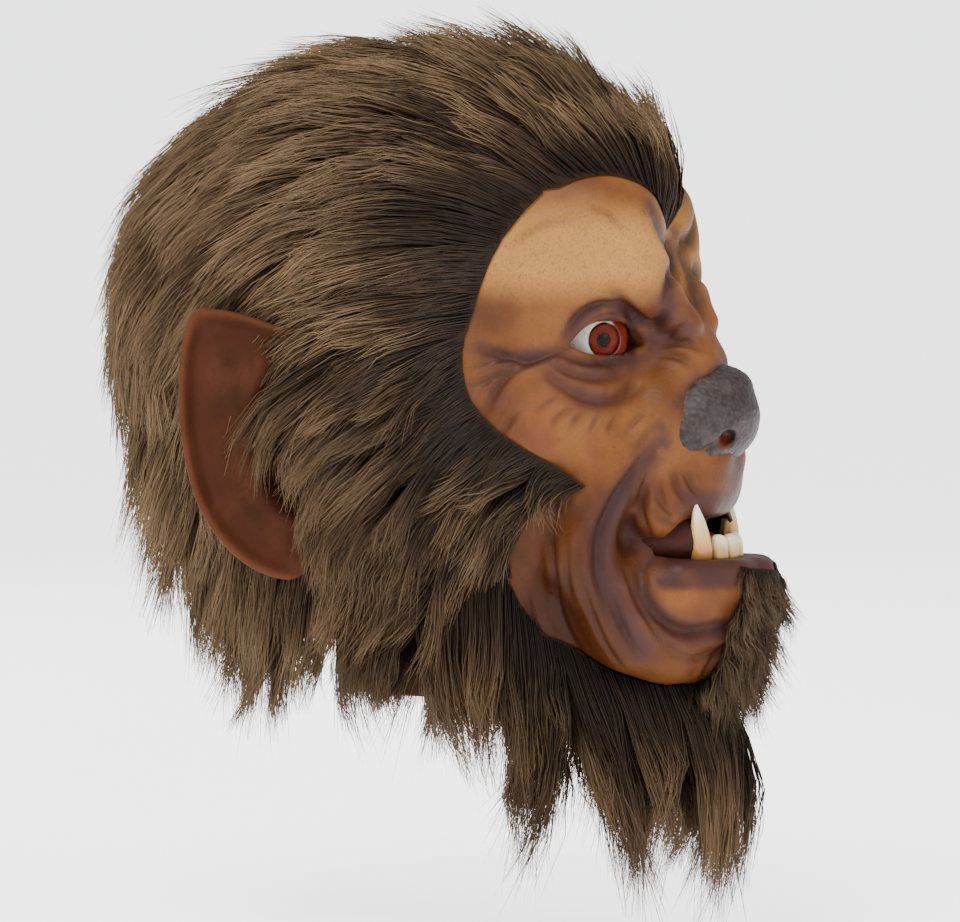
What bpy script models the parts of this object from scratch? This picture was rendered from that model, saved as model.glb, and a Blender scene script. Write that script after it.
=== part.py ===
"""Full-head latex werewolf mask with faux fur, as separate glued-together pieces.

Frame: metres, +Z up, the face looks along -Y and the mask's right side is at -X.
The origin is the centre of the neck opening, in the plane of the neck rim.
Shapes are worked out in millimetres and turned into metres when a mesh is made.
"""

import bmesh
import bpy
import numpy as np
from mathutils import Matrix, Vector

MM = 0.001
GAP = 0.4  # clearance between neighbouring pieces
GLUE_GAP = 1.6  # clearance between the fur and the faceted skin under it

# Driving dimensions, in millimetres
HEAD_CENTRE = np.array([0.0, 0.0, 120.0])  # every ray that shapes the head starts here
LATEX = 3.0  # wall of the latex skin
NECK_HALF_WIDTH = 60.0
NECK_HALF_DEPTH = 62.0
CAST_FROM = 250.0  # a ray is followed inwards from this radius

EYE_CENTRE = np.array([26.0, -53.0, 152.0])
EYE_GAZE = np.array([0.50, -0.86, 0.04])
EYE_RADIUS = 17.0
IRIS_PLANE = 12.5  # height of the flat behind the iris, along the gaze
IRIS_RADIUS = 8.6
IRIS_THICKNESS = 0.8
EYE_CLEARANCE = 2.2

NOSE_CENTRE = np.array([0.0, -104.0, 119.0])
NOSE_RADII = np.array([24.0, 20.0, 20.0])
NOSTRIL_CENTRE = np.array([11.5, -123.0, 112.0])
NOSTRIL_RADII = np.array([5.0, 9.0, 4.0])

LIP_HEIGHT = 58.5  # top of the lower lip
MOUTH_HALF_WIDTH = 38.0
MOUTH_RISE = 19.0  # from the lower lip to the middle of the upper lip
GUM_BASE = 46.0
GUM_TOP = 55.0
TOOTH_ARC_CENTRE_Y = -89.5
TOOTH_ARC_RADIUS = 23.5
INCISOR_ANGLES = (-30.0, -10.0, 10.0, 30.0)
INCISOR_SIZE = (7.4, 5.0, 15.5)
FANG_ANGLE = 53.0
FANG_WIDTH = 9.5
FANG_HEIGHT = 30.0

EAR_ROOT = np.array([80.0, 43.0, 108.0])
EAR_BACKWARD = np.array([0.388, 0.922, 0.0])
EAR_THICKNESS = 5.0
EAR_BOWL = 9.0
EAR_OUTLINE = [
    (3, 42), (24, 52), (46, 58), (58, 55), (63, 34), (62, 2),
    (54, -28), (36, -50), (14, -57), (2, -40), (0, 0),
]

# Lumps that the head is blended from: centre, radii and the width of the blend.
# A lump away from the middle is there once on each side.
HEAD_FORMS = [
    ((0, 38, 163), (84, 102, 98), 14),  # cranium
    ((0, 30, 110), (77, 82, 80), 25),  # ears' level and back of the head
    ((0, -14, 192), (62, 66, 62), 20),  # forehead
    ((0, -22, 110), (66, 62, 95), 20),  # face
    ((24, -68, 184), (26, 22, 22), 12),  # brow
    ((46, -46, 124), (24, 26, 26), 14),  # cheekbone
    ((0, -79, 97), (36, 38, 36), 14),  # muzzle
    ((0, -88, 136), (17, 20, 28), 14),  # bridge of the nose
    ((0, -72, 38), (46, 52, 33), 14),  # lower jaw
    ((0, -90, 50), (38, 40, 14), 8),  # lower lip
]
EYE_SOCKET = ((37, -74, 152), (17, 16, 12), 8)  # taken away from the lumps

# Edges of the fur round the bare face on the right side, in degrees: the hairline is
# (angle from the front, elevation), the temple and the cheek are (elevation, angle)
HAIRLINE = [(0, 43), (8, 50), (20, 53), (40, 54), (56, 52), (62, 50), (65, 58), (180, 58)]
TEMPLE_EDGE = [(24, 78), (32, 75), (44, 69), (48, 67), (58, 68)]
CHEEK_FRONT_EDGE = [(-46, 62), (-38, 64), (-26, 53), (-18, 43), (-9, 64), (4, 76), (24, 78)]
CROWN_EDGE = 58.0  # elevation where the side fur meets the crown fur
SIDE_EDGE = 24.0  # elevation where the side fur meets the cheek and nape fur
CHEEK_BACK = 113.0
NAPE_START = 129.0
PANEL_GAP_DEG = 0.5

# Depth of the pile above the skin, as (elevation, depth)
PILE_BY_ELEVATION = [(-45, 17), (0, 19), (24, 26), (60, 28), (90, 28)]
BACK_PILE_EXTRA = 8.0  # the fur at the back of the head stands this much deeper
EDGE_PILE = 6.0
EDGE_TAPER_DEG = 14.0

# Hanging fringes by azimuth: distance of the swell and of the tips from the upright axis,
# height of the tips, and elevation of the edge that is glued to the jaw
BEARD_SWELL = [(2, 136), (15, 126), (30, 108), (45, 96), (60, 90), (90, 86), (130, 84)]
BEARD_TIP_OUT = [(2, 114), (15, 108), (30, 98), (45, 88), (60, 84), (90, 86), (130, 84)]
BEARD_TIPS = [(2, -104), (30, -100), (60, -84), (90, -58), (130, -34)]
BEARD_ROOTS = [(2, -48), (15, -50), (32, -56), (50, -57), (62, -50), (130, -47)]
BEARD_THICKNESS = 20.0
BEARD_INNER_LEAST = 66.0
NAPE_OUTER = [(-46, 139), (-42, 141), (-22, 153), (-13, 171), (0, 176), (18, 175), (24, 171)]
NAPE_THICKNESS = 38.0
NAPE_END = -45.0
NAPE_NARROWING = 1.5e-4  # how fast the nape fur falls back from the middle, per degree squared


def clear_scene():
    for old in list(bpy.data.objects):
        bpy.data.objects.remove(old, do_unlink=True)


def principled(name, colour, roughness, metallic=0.0):
    material = bpy.data.materials.new(name)
    material.use_nodes = True
    shader = material.node_tree.nodes["Principled BSDF"]
    shader.inputs["Base Color"].default_value = (*colour, 1.0)
    shader.inputs["Roughness"].default_value = roughness
    shader.inputs["Metallic"].default_value = metallic
    material.diffuse_color = (*colour, 1.0)
    return material


def clear_latex(name, colour, roughness):
    material = principled(name, colour, roughness)
    material.node_tree.nodes["Principled BSDF"].inputs["Transmission Weight"].default_value = 1.0
    return material


# Points and directions


def mirrored(point, side):
    """The point on the right side (-X) for side -1, or on the left side for +1."""
    return np.array([abs(point[0]) * side, point[1], point[2]])


def ellipsoid_distance(points, centre, radii):
    scaled = (points - centre) / radii
    length = np.linalg.norm(scaled, axis=-1)
    slope = np.linalg.norm(scaled / radii, axis=-1)
    return length * (length - 1.0) / np.maximum(slope, 1e-9)


def smooth_union(first, second, width):
    mix = np.clip(0.5 + 0.5 * (second - first) / width, 0.0, 1.0)
    return second * (1.0 - mix) + first * mix - width * mix * (1.0 - mix)


def head_distance(points):
    """Approximate distance to the latex skin's outer face, in millimetres."""
    folded = np.array(points, float)
    folded[..., 0] = np.abs(folded[..., 0])
    neck = np.hypot(folded[..., 0], folded[..., 1] * NECK_HALF_WIDTH / NECK_HALF_DEPTH)
    distance = np.maximum(neck - NECK_HALF_WIDTH, folded[..., 2] - 90.0)
    for centre, radii, width in HEAD_FORMS:
        form = ellipsoid_distance(folded, np.array(centre, float), np.array(radii, float))
        distance = smooth_union(distance, form, width)
    centre, radii, width = EYE_SOCKET
    socket = ellipsoid_distance(folded, np.array(centre, float), np.array(radii, float))
    return -smooth_union(-distance, socket, width)


def directions(azimuth, elevation):
    """Unit vectors. Azimuth 0 is the front (-Y) and 90 the mask's right side (-X)."""
    azimuth, elevation = np.broadcast_arrays(np.radians(azimuth), np.radians(elevation))
    level = np.cos(elevation)
    return np.stack(
        [-np.sin(azimuth) * level, -np.cos(azimuth) * level, np.sin(elevation)], axis=-1
    )


def skin_radius(azimuth, elevation):
    """Distance from the head's centre to the skin's outer face along each direction."""
    rays = directions(azimuth, elevation)
    radius = np.full(rays.shape[:-1], CAST_FROM)
    for _ in range(90):
        radius = radius - 0.7 * head_distance(HEAD_CENTRE + rays * radius[..., None])
    return radius


def at_radius(azimuth, elevation, radius):
    return HEAD_CENTRE + directions(azimuth, elevation) * radius[..., None]


def along(table, value):
    keys, values = np.array(table, float).T
    return np.interp(value, keys, values)


def smooth_loop(points, count):
    """A closed Catmull-Rom curve through the points, as count points."""
    points = np.array(points, float)
    spot = np.arange(count) * len(points) / count
    start = np.floor(spot).astype(int)
    t = (spot - start)[:, None]
    before, here, after, beyond = (points[(start + k) % len(points)] for k in (-1, 0, 1, 2))
    return 0.5 * (
        2 * here
        + (after - before) * t
        + (2 * before - 5 * here + 4 * after - beyond) * t**2
        + (3 * here - before - 3 * after + beyond) * t**3
    )


# Meshes


def mesh_object(name, points, faces, material, smooth=True):
    mesh = bpy.data.meshes.new(name)
    mesh.from_pydata((np.asarray(points) * MM).tolist(), [], faces)
    shape = bmesh.new()
    shape.from_mesh(mesh)
    bmesh.ops.recalc_face_normals(shape, faces=shape.faces)
    shape.to_mesh(mesh)
    shape.free()
    if smooth:
        mesh.shade_smooth()
        mesh.set_sharp_from_angle(angle=np.radians(50.0))
    mesh.materials.append(material)
    made = bpy.data.objects.new(name, mesh)
    bpy.context.scene.collection.objects.link(made)
    return made


def grid_faces(rows, columns, start=0, ring=False):
    faces = []
    for row in range(rows - 1):
        for column in range(columns if ring else columns - 1):
            after = (column + 1) % columns
            a, b = start + row * columns + column, start + row * columns + after
            faces.append((a, b, b + columns, a + columns))
    return faces


def slab(name, inner, outer, material):
    """A closed solid between two grids of points of the same size."""
    rows, columns = inner.shape[:2]
    count = rows * columns
    faces = grid_faces(rows, columns) + grid_faces(rows, columns, count)
    edge = [(0, c) for c in range(columns)] + [(r, columns - 1) for r in range(1, rows)]
    edge += [(rows - 1, c) for c in range(columns - 2, -1, -1)]
    edge += [(r, 0) for r in range(rows - 2, 0, -1)]
    loop = [r * columns + c for r, c in edge]
    for a, b in zip(loop, loop[1:] + loop[:1]):
        faces.append((a, b, b + count, a + count))
    points = np.concatenate([inner.reshape(-1, 3), outer.reshape(-1, 3)])
    return mesh_object(name, points, faces, material)


def domed_shell(name, inner, outer, inner_pole, outer_pole, material):
    """A closed wall between two stacks of rings that each end in a pole."""
    rows, columns = inner.shape[:2]
    count = rows * columns
    faces = grid_faces(rows, columns, 0, ring=True) + grid_faces(rows, columns, count, ring=True)
    for column in range(columns):
        after = (column + 1) % columns
        faces.append((column, after, count + after, count + column))
        top = (rows - 1) * columns
        faces.append((top + column, top + after, 2 * count))
        faces.append((count + top + column, count + top + after, 2 * count + 1))
    points = np.concatenate([inner.reshape(-1, 3), outer.reshape(-1, 3), [inner_pole, outer_pole]])
    return mesh_object(name, points, faces, material)


def stack(name, rings, material, tip=None):
    """A solid through a stack of rings, with a flat base and a flat or pointed top."""
    rings = np.asarray(rings)
    rows, columns = rings.shape[:2]
    faces = grid_faces(rows, columns, 0, ring=True) + [tuple(range(columns))]
    points = rings.reshape(-1, 3)
    top = (rows - 1) * columns
    if tip is None:
        faces.append(tuple(range(top, top + columns)))
    else:
        points = np.concatenate([points, [tip]])
        faces += [(top + c, top + (c + 1) % columns, rows * columns) for c in range(columns)]
    return mesh_object(name, points, faces, material)


def turned(name, profile, centre, axis, material, segments=20):
    """A round solid about an axis. The profile runs from pole to pole as (radius, height)."""
    shape = bmesh.new()
    spots = [shape.verts.new((radius * MM, 0.0, height * MM)) for radius, height in profile]
    edges = [shape.edges.new(pair) for pair in zip(spots, spots[1:])]
    bmesh.ops.spin(
        shape, geom=spots + edges, axis=(0, 0, 1), cent=(0, 0, 0),
        angle=np.radians(360.0), steps=segments, use_merge=True,
    )
    bmesh.ops.remove_doubles(shape, verts=shape.verts, dist=1e-6)
    turn = Vector((0, 0, 1)).rotation_difference(Vector(axis)).to_matrix().to_4x4()
    shape.transform(Matrix.Translation(Vector(centre) * MM) @ turn)
    bmesh.ops.recalc_face_normals(shape, faces=shape.faces)
    mesh = bpy.data.meshes.new(name)
    shape.to_mesh(mesh)
    shape.free()
    mesh.shade_smooth()
    mesh.set_sharp_from_angle(angle=np.radians(40.0))
    mesh.materials.append(material)
    made = bpy.data.objects.new(name, mesh)
    bpy.context.scene.collection.objects.link(made)
    return made


def ball(name, centre, radii, material, segments=24, rings=14):
    shape = bmesh.new()
    bmesh.ops.create_uvsphere(shape, u_segments=segments, v_segments=rings, radius=1.0)
    scale = Matrix.Diagonal((*(np.asarray(radii) * MM), 1.0))
    shape.transform(Matrix.Translation(Vector(centre) * MM) @ scale)
    mesh = bpy.data.meshes.new(name)
    shape.to_mesh(mesh)
    shape.free()
    mesh.shade_smooth()
    mesh.materials.append(material)
    made = bpy.data.objects.new(name, mesh)
    bpy.context.scene.collection.objects.link(made)
    return made


def cut(target, cutter):
    cutter.hide_render = True
    cutter.display_type = "WIRE"
    boolean = target.modifiers.new("cut_" + cutter.name, "BOOLEAN")
    boolean.operation = "DIFFERENCE"
    boolean.solver = "EXACT"
    boolean.object = cutter


# Pieces


def latex_skin(material):
    """The moulded head: two nested surfaces that meet in a flat rim at the neck."""
    azimuth = np.concatenate([np.linspace(-60, 60, 23), np.linspace(72, 288, 19)])
    elevation = np.concatenate([np.linspace(-60, -12, 17), np.linspace(-7, 38, 10),
                                np.linspace(46, 82, 6)])
    wide, high = np.meshgrid(azimuth, elevation)
    radius = skin_radius(wide, high)
    outer = at_radius(wide, high, radius)
    inner = at_radius(wide, high, radius - LATEX * 1.15)
    rim = np.radians(azimuth)
    rings = []
    for grid, inset in ((inner, LATEX + 1.0), (outer, 0.0)):
        edge = np.zeros((1, len(azimuth), 3))
        edge[0, :, 0] = -np.sin(rim) * (NECK_HALF_WIDTH - inset)
        edge[0, :, 1] = -np.cos(rim) * (NECK_HALF_DEPTH - inset)
        rings.append(np.concatenate([edge, grid]))
    top = skin_radius(0.0, 90.0)
    poles = [HEAD_CENTRE + np.array([0, 0, top - wall]) for wall in (LATEX, 0.0)]
    return domed_shell("latex_skin", rings[0], rings[1], poles[0], poles[1], material)


def mouth_cutter(material):
    """An arched slot through the front of the muzzle."""
    across = np.linspace(-1.0, 1.0, 13)
    upper = [(x * MOUTH_HALF_WIDTH, LIP_HEIGHT + 2 + (MOUTH_RISE - 2) * (1 - x**4)) for x in across]
    lower = [(x * MOUTH_HALF_WIDTH, LIP_HEIGHT) for x in across[::-1]]
    rings = [[(x, y, z) for x, z in upper + lower] for y in (-150.0, -84.0)]
    return stack("mouth_cutter", rings, material)


def eye(side, name, materials):
    """Painted ball with a flat at the front, the iris on it and a clear dome over both."""
    centre, gaze = mirrored(EYE_CENTRE, side), mirrored(EYE_GAZE, side)
    gaze = gaze / np.linalg.norm(gaze)
    flat = np.sqrt(EYE_RADIUS**2 - IRIS_PLANE**2)
    start = np.degrees(np.arcsin(IRIS_PLANE / EYE_RADIUS))
    bow = [
        (EYE_RADIUS * np.cos(np.radians(a)), EYE_RADIUS * np.sin(np.radians(a)))
        for a in np.linspace(-90.0, start, 12)
    ]
    turned(name + "_eyeball", [(0.0, -EYE_RADIUS)] + bow[1:] + [(0.0, IRIS_PLANE)],
           centre, gaze, materials["eye_white"])
    base = IRIS_PLANE + GAP
    disc = [(0.0, base), (IRIS_RADIUS, base), (IRIS_RADIUS, base + IRIS_THICKNESS)]
    turned(name + "_iris", disc + [(0.0, base + IRIS_THICKNESS)], centre, gaze, materials["iris"])
    seat = base + IRIS_THICKNESS + GAP
    rise = [(flat * np.cos(np.radians(a)), seat + (EYE_RADIUS + 1 - seat) * np.sin(np.radians(a)))
            for a in np.linspace(0.0, 90.0, 6)]
    turned(name + "_cornea", [(0.0, seat)] + rise[:-1] + [(0.0, rise[-1][1])],
           centre, gaze, materials["clear_resin"])


def eye_cutter(side, material):
    grown = EYE_RADIUS + EYE_CLEARANCE
    return ball(f"eye_cutter_{side}", mirrored(EYE_CENTRE, side), (grown,) * 3, material)


def nose(material):
    pad = ball("nose", NOSE_CENTRE, NOSE_RADII, material, 24, 16)
    for side in (-1, 1):
        cut(pad, ball(f"nostril_cutter_{side}", mirrored(NOSTRIL_CENTRE, side), NOSTRIL_RADII,
                      material, 12, 8))
    return pad


def ear(side, name, material):
    """A dished leaf with a blunt point, standing out from the side of the head."""
    backward = mirrored(EAR_BACKWARD, side)
    outward = mirrored((EAR_BACKWARD[1], -EAR_BACKWARD[0], 0.0), side)
    outline = smooth_loop(EAR_OUTLINE, 32)
    middle = np.array([28.0, 0.0])
    rings = {}
    for face, lift in (("back", -EAR_THICKNESS / 2), ("front", EAR_THICKNESS / 2)):
        rows = []
        for share in (1.0, 0.85, 0.6, 0.3):
            flat = middle + (outline - middle) * share
            depth = lift * min(1.0, 0.5 + 2 * (1 - share)) - EAR_BOWL * (1 - share**2)
            rows.append(
                mirrored(EAR_ROOT, side)
                + flat[:, :1] * backward
                + flat[:, 1:] * np.array([0.0, 0.0, 1.0])
                + (depth + EAR_BOWL) * outward
            )
        pole = mirrored(EAR_ROOT, side) + middle[0] * backward + lift * outward
        rings[face] = (np.array(rows), pole)
    back, front = rings["back"], rings["front"]
    return domed_shell(name + "_ear", back[0], front[0], back[1], front[1], material)


def arc_spot(angle, radius=TOOTH_ARC_RADIUS):
    bearing = np.radians(angle)
    return np.array([radius * np.sin(bearing), TOOTH_ARC_CENTRE_Y - radius * np.cos(bearing)])


def gum(material):
    """A horseshoe that the lower teeth stand on."""
    angles = np.linspace(-80.0, 80.0, 17)
    rows = []
    for height in (GUM_BASE, GUM_TOP):
        rows.append([[*arc_spot(a, TOOTH_ARC_RADIUS + 2.5), height] for a in angles])
    outer = np.array(rows)
    rows = []
    for height in (GUM_BASE, GUM_TOP):
        rows.append([[*arc_spot(a, TOOTH_ARC_RADIUS - 5.0), height] for a in angles])
    return slab("lower_gum", np.array(rows), outer, material)


def tooth_ring(angle, width, depth, height, lean=0.0, sides=10):
    """A squashed circle about a spot on the tooth arc, its width along the arc."""
    spot, turn = arc_spot(angle, TOOTH_ARC_RADIUS + lean), np.radians(angle)
    tangent, outward = np.array([np.cos(turn), np.sin(turn)]), np.array([np.sin(turn), -np.cos(turn)])
    bearings = np.linspace(0.0, 2 * np.pi, sides, endpoint=False)
    return [
        [*(spot + tangent * np.cos(b) * width / 2 + outward * np.sin(b) * depth / 2), height]
        for b in bearings
    ]


def incisor(number, angle, material):
    width, depth, height = INCISOR_SIZE
    base = GUM_TOP + GAP
    shares = ((0.0, 0.80, 1.0), (0.45, 1.0, 1.0), (0.85, 0.95, 0.7), (1.0, 0.7, 0.35))
    rings = [tooth_ring(angle, width * w, depth * d, base + height * h) for h, w, d in shares]
    return stack(f"lower_incisor_{number}", rings, material)


def fang(side, name, material):
    base, angle = GUM_TOP + GAP, FANG_ANGLE * side
    shares = ((0.0, 0.85), (0.25, 1.0), (0.5, 0.85), (0.75, 0.55), (0.92, 0.25))
    rings = [
        tooth_ring(angle, FANG_WIDTH * w, FANG_WIDTH * w * 0.8, base + FANG_HEIGHT * h, 7.0 * h)
        for h, w in shares
    ]
    tip = [*arc_spot(angle, TOOTH_ARC_RADIUS + 7.0), base + FANG_HEIGHT]
    return stack(name + "_lower_fang", rings, material, tip)


def mouth_lining(material):
    """The back half of an egg-shaped shell, open towards the lips."""
    centre, radii = np.array([0.0, -80.0, 67.0]), np.array([28.0, 22.0, 19.0])
    turn = np.radians(np.linspace(0.0, 360.0, 24, endpoint=False))
    grids, poles = [], []
    for wall in (1.5, 0.0):
        size = radii - wall
        rows = []
        for tilt in np.radians(np.linspace(0.0, 72.0, 6)):
            ring = np.stack([np.cos(turn) * np.cos(tilt), np.full(24, np.sin(tilt)),
                             np.sin(turn) * np.cos(tilt)], axis=-1)
            rows.append(centre + ring * size)
        grids.append(np.array(rows))
        poles.append(centre + np.array([0.0, size[1], 0.0]))
    return domed_shell("mouth_lining", grids[0], grids[1], poles[0], poles[1], material)


def pile_depth(azimuth, elevation):
    depth = along(PILE_BY_ELEVATION, elevation)
    back = np.clip((np.abs(azimuth) - 90.0) / 60.0, 0.0, 1.0) * np.cos(np.radians(elevation))
    return depth + BACK_PILE_EXTRA * back


def fur_panel(name, azimuth, elevation, edge_distance, material):
    """Backing and pile as one solid on the skin, thinner towards the bare face."""
    skin = skin_radius(azimuth, elevation)
    taper = np.clip(edge_distance / EDGE_TAPER_DEG, 0.0, 1.0) ** 0.6
    depth = EDGE_PILE + (pile_depth(azimuth, elevation) - EDGE_PILE) * taper
    inner = at_radius(azimuth, elevation, skin + GLUE_GAP)
    outer = at_radius(azimuth, elevation, skin + depth)
    return slab(name, inner, outer, material)


def crown_fur(material):
    """The cap of fur, down to the hairline in front and to the side fur elsewhere."""
    azimuth = np.concatenate([np.linspace(-62, 62, 21), [66], np.linspace(80, 280, 15), [294]])
    azimuth = np.where(azimuth > 180.0, azimuth - 360.0, azimuth)
    low = along(HAIRLINE, np.abs(azimuth))
    share = np.linspace(0.0, 1.0, 6)[:, None] ** 0.9
    elevation = low + (84.0 - low) * share
    wide = np.broadcast_to(azimuth, elevation.shape)
    skin = skin_radius(wide, elevation)
    front = np.clip((75.0 - np.abs(wide)) / 20.0, 0.0, 1.0)
    taper = 1.0 - front * (1.0 - np.clip((elevation - low) / EDGE_TAPER_DEG, 0.0, 1.0) ** 0.6)
    depth = EDGE_PILE + (pile_depth(wide, elevation) - EDGE_PILE) * taper
    top = float(skin_radius(0.0, 90.0))
    poles = [HEAD_CENTRE + np.array([0.0, 0.0, top + lift]) for lift in (GLUE_GAP, 28.0)]
    return domed_shell("crown_fur", at_radius(wide, elevation, skin + GLUE_GAP),
                       at_radius(wide, elevation, skin + depth), poles[0], poles[1], material)


def side_fur(side, name, material):
    """From the temple over the ear to the middle of the back."""
    rows, columns = 6, 15
    high = np.linspace(SIDE_EDGE + PANEL_GAP_DEG, CROWN_EDGE - PANEL_GAP_DEG, rows)[:, None]
    front = along(TEMPLE_EDGE, high)
    share = np.linspace(0.0, 1.0, columns)[None, :]
    azimuth = front + (180.0 - PANEL_GAP_DEG - front) * share
    elevation = np.broadcast_to(high, azimuth.shape)
    return fur_panel(name + "_side_fur", azimuth * -side, elevation, azimuth - front, material)


def cheek_fur(side, name, material):
    """In front of the ear, with a point that runs forward on the cheek."""
    high = np.array([-46, -40, -32, -26, -21, -18, -15, -10, -3, 5, 14, SIDE_EDGE - PANEL_GAP_DEG])
    front = along(CHEEK_FRONT_EDGE, high)[:, None]
    share = np.linspace(0.0, 1.0, 9)[None, :] ** 1.3
    azimuth = front + (CHEEK_BACK - front) * share
    elevation = np.broadcast_to(high[:, None], azimuth.shape)
    return fur_panel(name + "_cheek_fur", azimuth * -side, elevation, azimuth - front, material)


def nape_fur(material):
    """Behind the ears, hanging clear of the neck at its lower end."""
    high = np.linspace(NAPE_END, SIDE_EDGE - PANEL_GAP_DEG, 11)[:, None]
    azimuth = np.linspace(NAPE_START, 360.0 - NAPE_START, 15)[None, :]
    elevation, wide = np.broadcast_arrays(high, azimuth)
    skin = skin_radius(wide, elevation)
    level = np.cos(np.radians(elevation))
    narrower = 1.0 - NAPE_NARROWING * (wide - 180.0) ** 2
    hanging = along(NAPE_OUTER, elevation) * narrower / level
    outer = np.maximum(np.minimum(hanging, skin + 60.0), skin + EDGE_PILE)
    inner = np.maximum(skin + GLUE_GAP, outer - NAPE_THICKNESS)
    return slab("nape_fur", at_radius(wide, elevation, inner),
                at_radius(wide, elevation, outer), material)


def beard_fur(side, name, material):
    """A curtain glued under the jaw seam, from the chin to below the ear."""
    azimuth = np.array([1, 8, 16, 24, 32, 41, 50, 60, 72, 84, 96, 108, 120], float)
    roots = along(BEARD_ROOTS, azimuth)
    skin = skin_radius(azimuth, roots)
    level = directions(azimuth * -side, 0.0)
    upright = np.array([0.0, 0.0, 1.0])
    drop = along(BEARD_TIPS, azimuth)[:, None] * upright
    swell = along(BEARD_SWELL, azimuth)[:, None]
    tip_out = along(BEARD_TIP_OUT, azimuth)[:, None]
    walls = []
    for depth, lift in ((0.0, GLUE_GAP), (BEARD_THICKNESS, BEARD_THICKNESS)):
        inset = BEARD_THICKNESS - depth
        root = at_radius(azimuth * -side, roots, skin + lift)
        middle = level * np.maximum(swell - inset, BEARD_INNER_LEAST) + root * upright * 0.6
        end = level * np.maximum(tip_out - inset, BEARD_INNER_LEAST) + drop
        rows = [root * (1 - t) ** 2 + middle * 2 * t * (1 - t) + end * t**2
                for t in np.linspace(0.0, 1.0, 8)]
        walls.append(np.array(rows))
    return slab(name + "_beard_fur", walls[0], walls[1], material)


def chin_tuft(material):
    """Short curled fur from under the lower lip to the beard."""
    wide, high = np.meshgrid(np.linspace(-6.5, 6.5, 7), np.linspace(-46.0, -30.0, 7))
    skin = skin_radius(wide, high)
    swell = np.cos(np.radians(wide * 10.0)) * np.cos(np.radians((high + 38.0) * 8.0))
    return slab("chin_tuft", at_radius(wide, high, skin + GLUE_GAP),
                at_radius(wide, high, skin + 4.0 + 9.0 * np.clip(swell, 0.0, 1.0)), material)


def main():
    clear_scene()
    materials = {
        "latex": principled("latex", (0.40, 0.22, 0.11), 0.5),
        "ear_latex": principled("ear_latex", (0.32, 0.14, 0.07), 0.55),
        "nose_latex": principled("nose_latex", (0.05, 0.04, 0.04), 0.35),
        "eye_white": principled("eye_white", (0.75, 0.72, 0.66), 0.2),
        "iris": principled("iris", (0.30, 0.04, 0.02), 0.3),
        "clear_resin": clear_latex("clear_resin", (1.0, 1.0, 1.0), 0.05),
        "tooth_resin": principled("tooth_resin", (0.85, 0.74, 0.50), 0.3),
        "gum": principled("gum", (0.35, 0.07, 0.05), 0.35),
        "lining": principled("lining", (0.06, 0.02, 0.015), 0.8),
        "long_fur": principled("long_fur", (0.20, 0.14, 0.09), 0.8),
        "dark_fur": principled("dark_fur", (0.10, 0.07, 0.05), 0.8),
        "curly_fur": principled("curly_fur", (0.16, 0.12, 0.08), 0.8),
    }
    skin = latex_skin(materials["latex"])
    cut(skin, mouth_cutter(materials["latex"]))
    cut(skin, ball("nose_cutter", NOSE_CENTRE, NOSE_RADII + GAP, materials["latex"]))
    nose(materials["nose_latex"])
    for side, name in ((-1, "right"), (1, "left")):
        cut(skin, eye_cutter(side, materials["latex"]))
        eye(side, name, materials)
        ear(side, name, materials["ear_latex"])
        fang(side, name, materials["tooth_resin"])
        side_fur(side, name, materials["long_fur"])
        cheek_fur(side, name, materials["dark_fur"])
        beard_fur(side, name, materials["dark_fur"])
    gum(materials["gum"])
    for number, angle in enumerate(INCISOR_ANGLES, start=1):
        incisor(number, angle, materials["tooth_resin"])
    ball("tongue", (0.0, -90.0, 64.0), (14.0, 16.0, 5.0), materials["gum"], 20, 12)
    mouth_lining(materials["lining"])
    crown_fur(materials["long_fur"])
    nape_fur(materials["long_fur"])
    chin_tuft(materials["curly_fur"])


main()
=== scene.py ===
# %% [markdown]
# # A full-head latex werewolf mask
# The real mask is a slush-moulded latex head with an air-brushed face, resin eyes and
# teeth, and faux fur glued over the rest. The frame holds plain solids for all of it.
# Each cell below makes one piece or one finish and puts it where the frame says.

import math

import bmesh
import bpy
import numpy as np
import openvdb
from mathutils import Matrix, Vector
from mathutils import noise as hills


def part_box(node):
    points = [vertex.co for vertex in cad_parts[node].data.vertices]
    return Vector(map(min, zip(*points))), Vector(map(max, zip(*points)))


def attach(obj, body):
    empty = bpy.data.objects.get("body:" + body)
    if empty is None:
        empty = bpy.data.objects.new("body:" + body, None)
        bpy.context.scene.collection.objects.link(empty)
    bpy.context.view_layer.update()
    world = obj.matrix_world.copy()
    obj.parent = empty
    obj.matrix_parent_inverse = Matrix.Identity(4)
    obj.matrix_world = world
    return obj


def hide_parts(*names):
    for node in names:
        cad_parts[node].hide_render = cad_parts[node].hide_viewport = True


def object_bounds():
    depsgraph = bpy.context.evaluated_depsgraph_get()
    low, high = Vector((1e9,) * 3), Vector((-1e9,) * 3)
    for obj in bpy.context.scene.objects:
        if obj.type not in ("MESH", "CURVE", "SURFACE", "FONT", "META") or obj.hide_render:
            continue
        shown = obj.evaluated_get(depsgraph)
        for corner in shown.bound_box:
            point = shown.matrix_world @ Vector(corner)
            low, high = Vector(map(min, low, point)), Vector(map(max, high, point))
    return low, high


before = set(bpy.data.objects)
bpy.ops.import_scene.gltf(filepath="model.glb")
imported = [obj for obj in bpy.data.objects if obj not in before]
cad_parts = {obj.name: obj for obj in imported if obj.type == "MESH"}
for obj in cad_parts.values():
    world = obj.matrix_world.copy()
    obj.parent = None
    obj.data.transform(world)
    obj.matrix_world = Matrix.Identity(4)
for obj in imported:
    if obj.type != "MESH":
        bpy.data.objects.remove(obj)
cad_low, cad_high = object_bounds()
print("frame nodes:", len(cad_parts))

# %% [markdown]
# Everything is worked out in millimetres, because that is how a mask maker measures a
# sculpture, and turned into metres when a mesh is made. The face looks along -Y.

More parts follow.
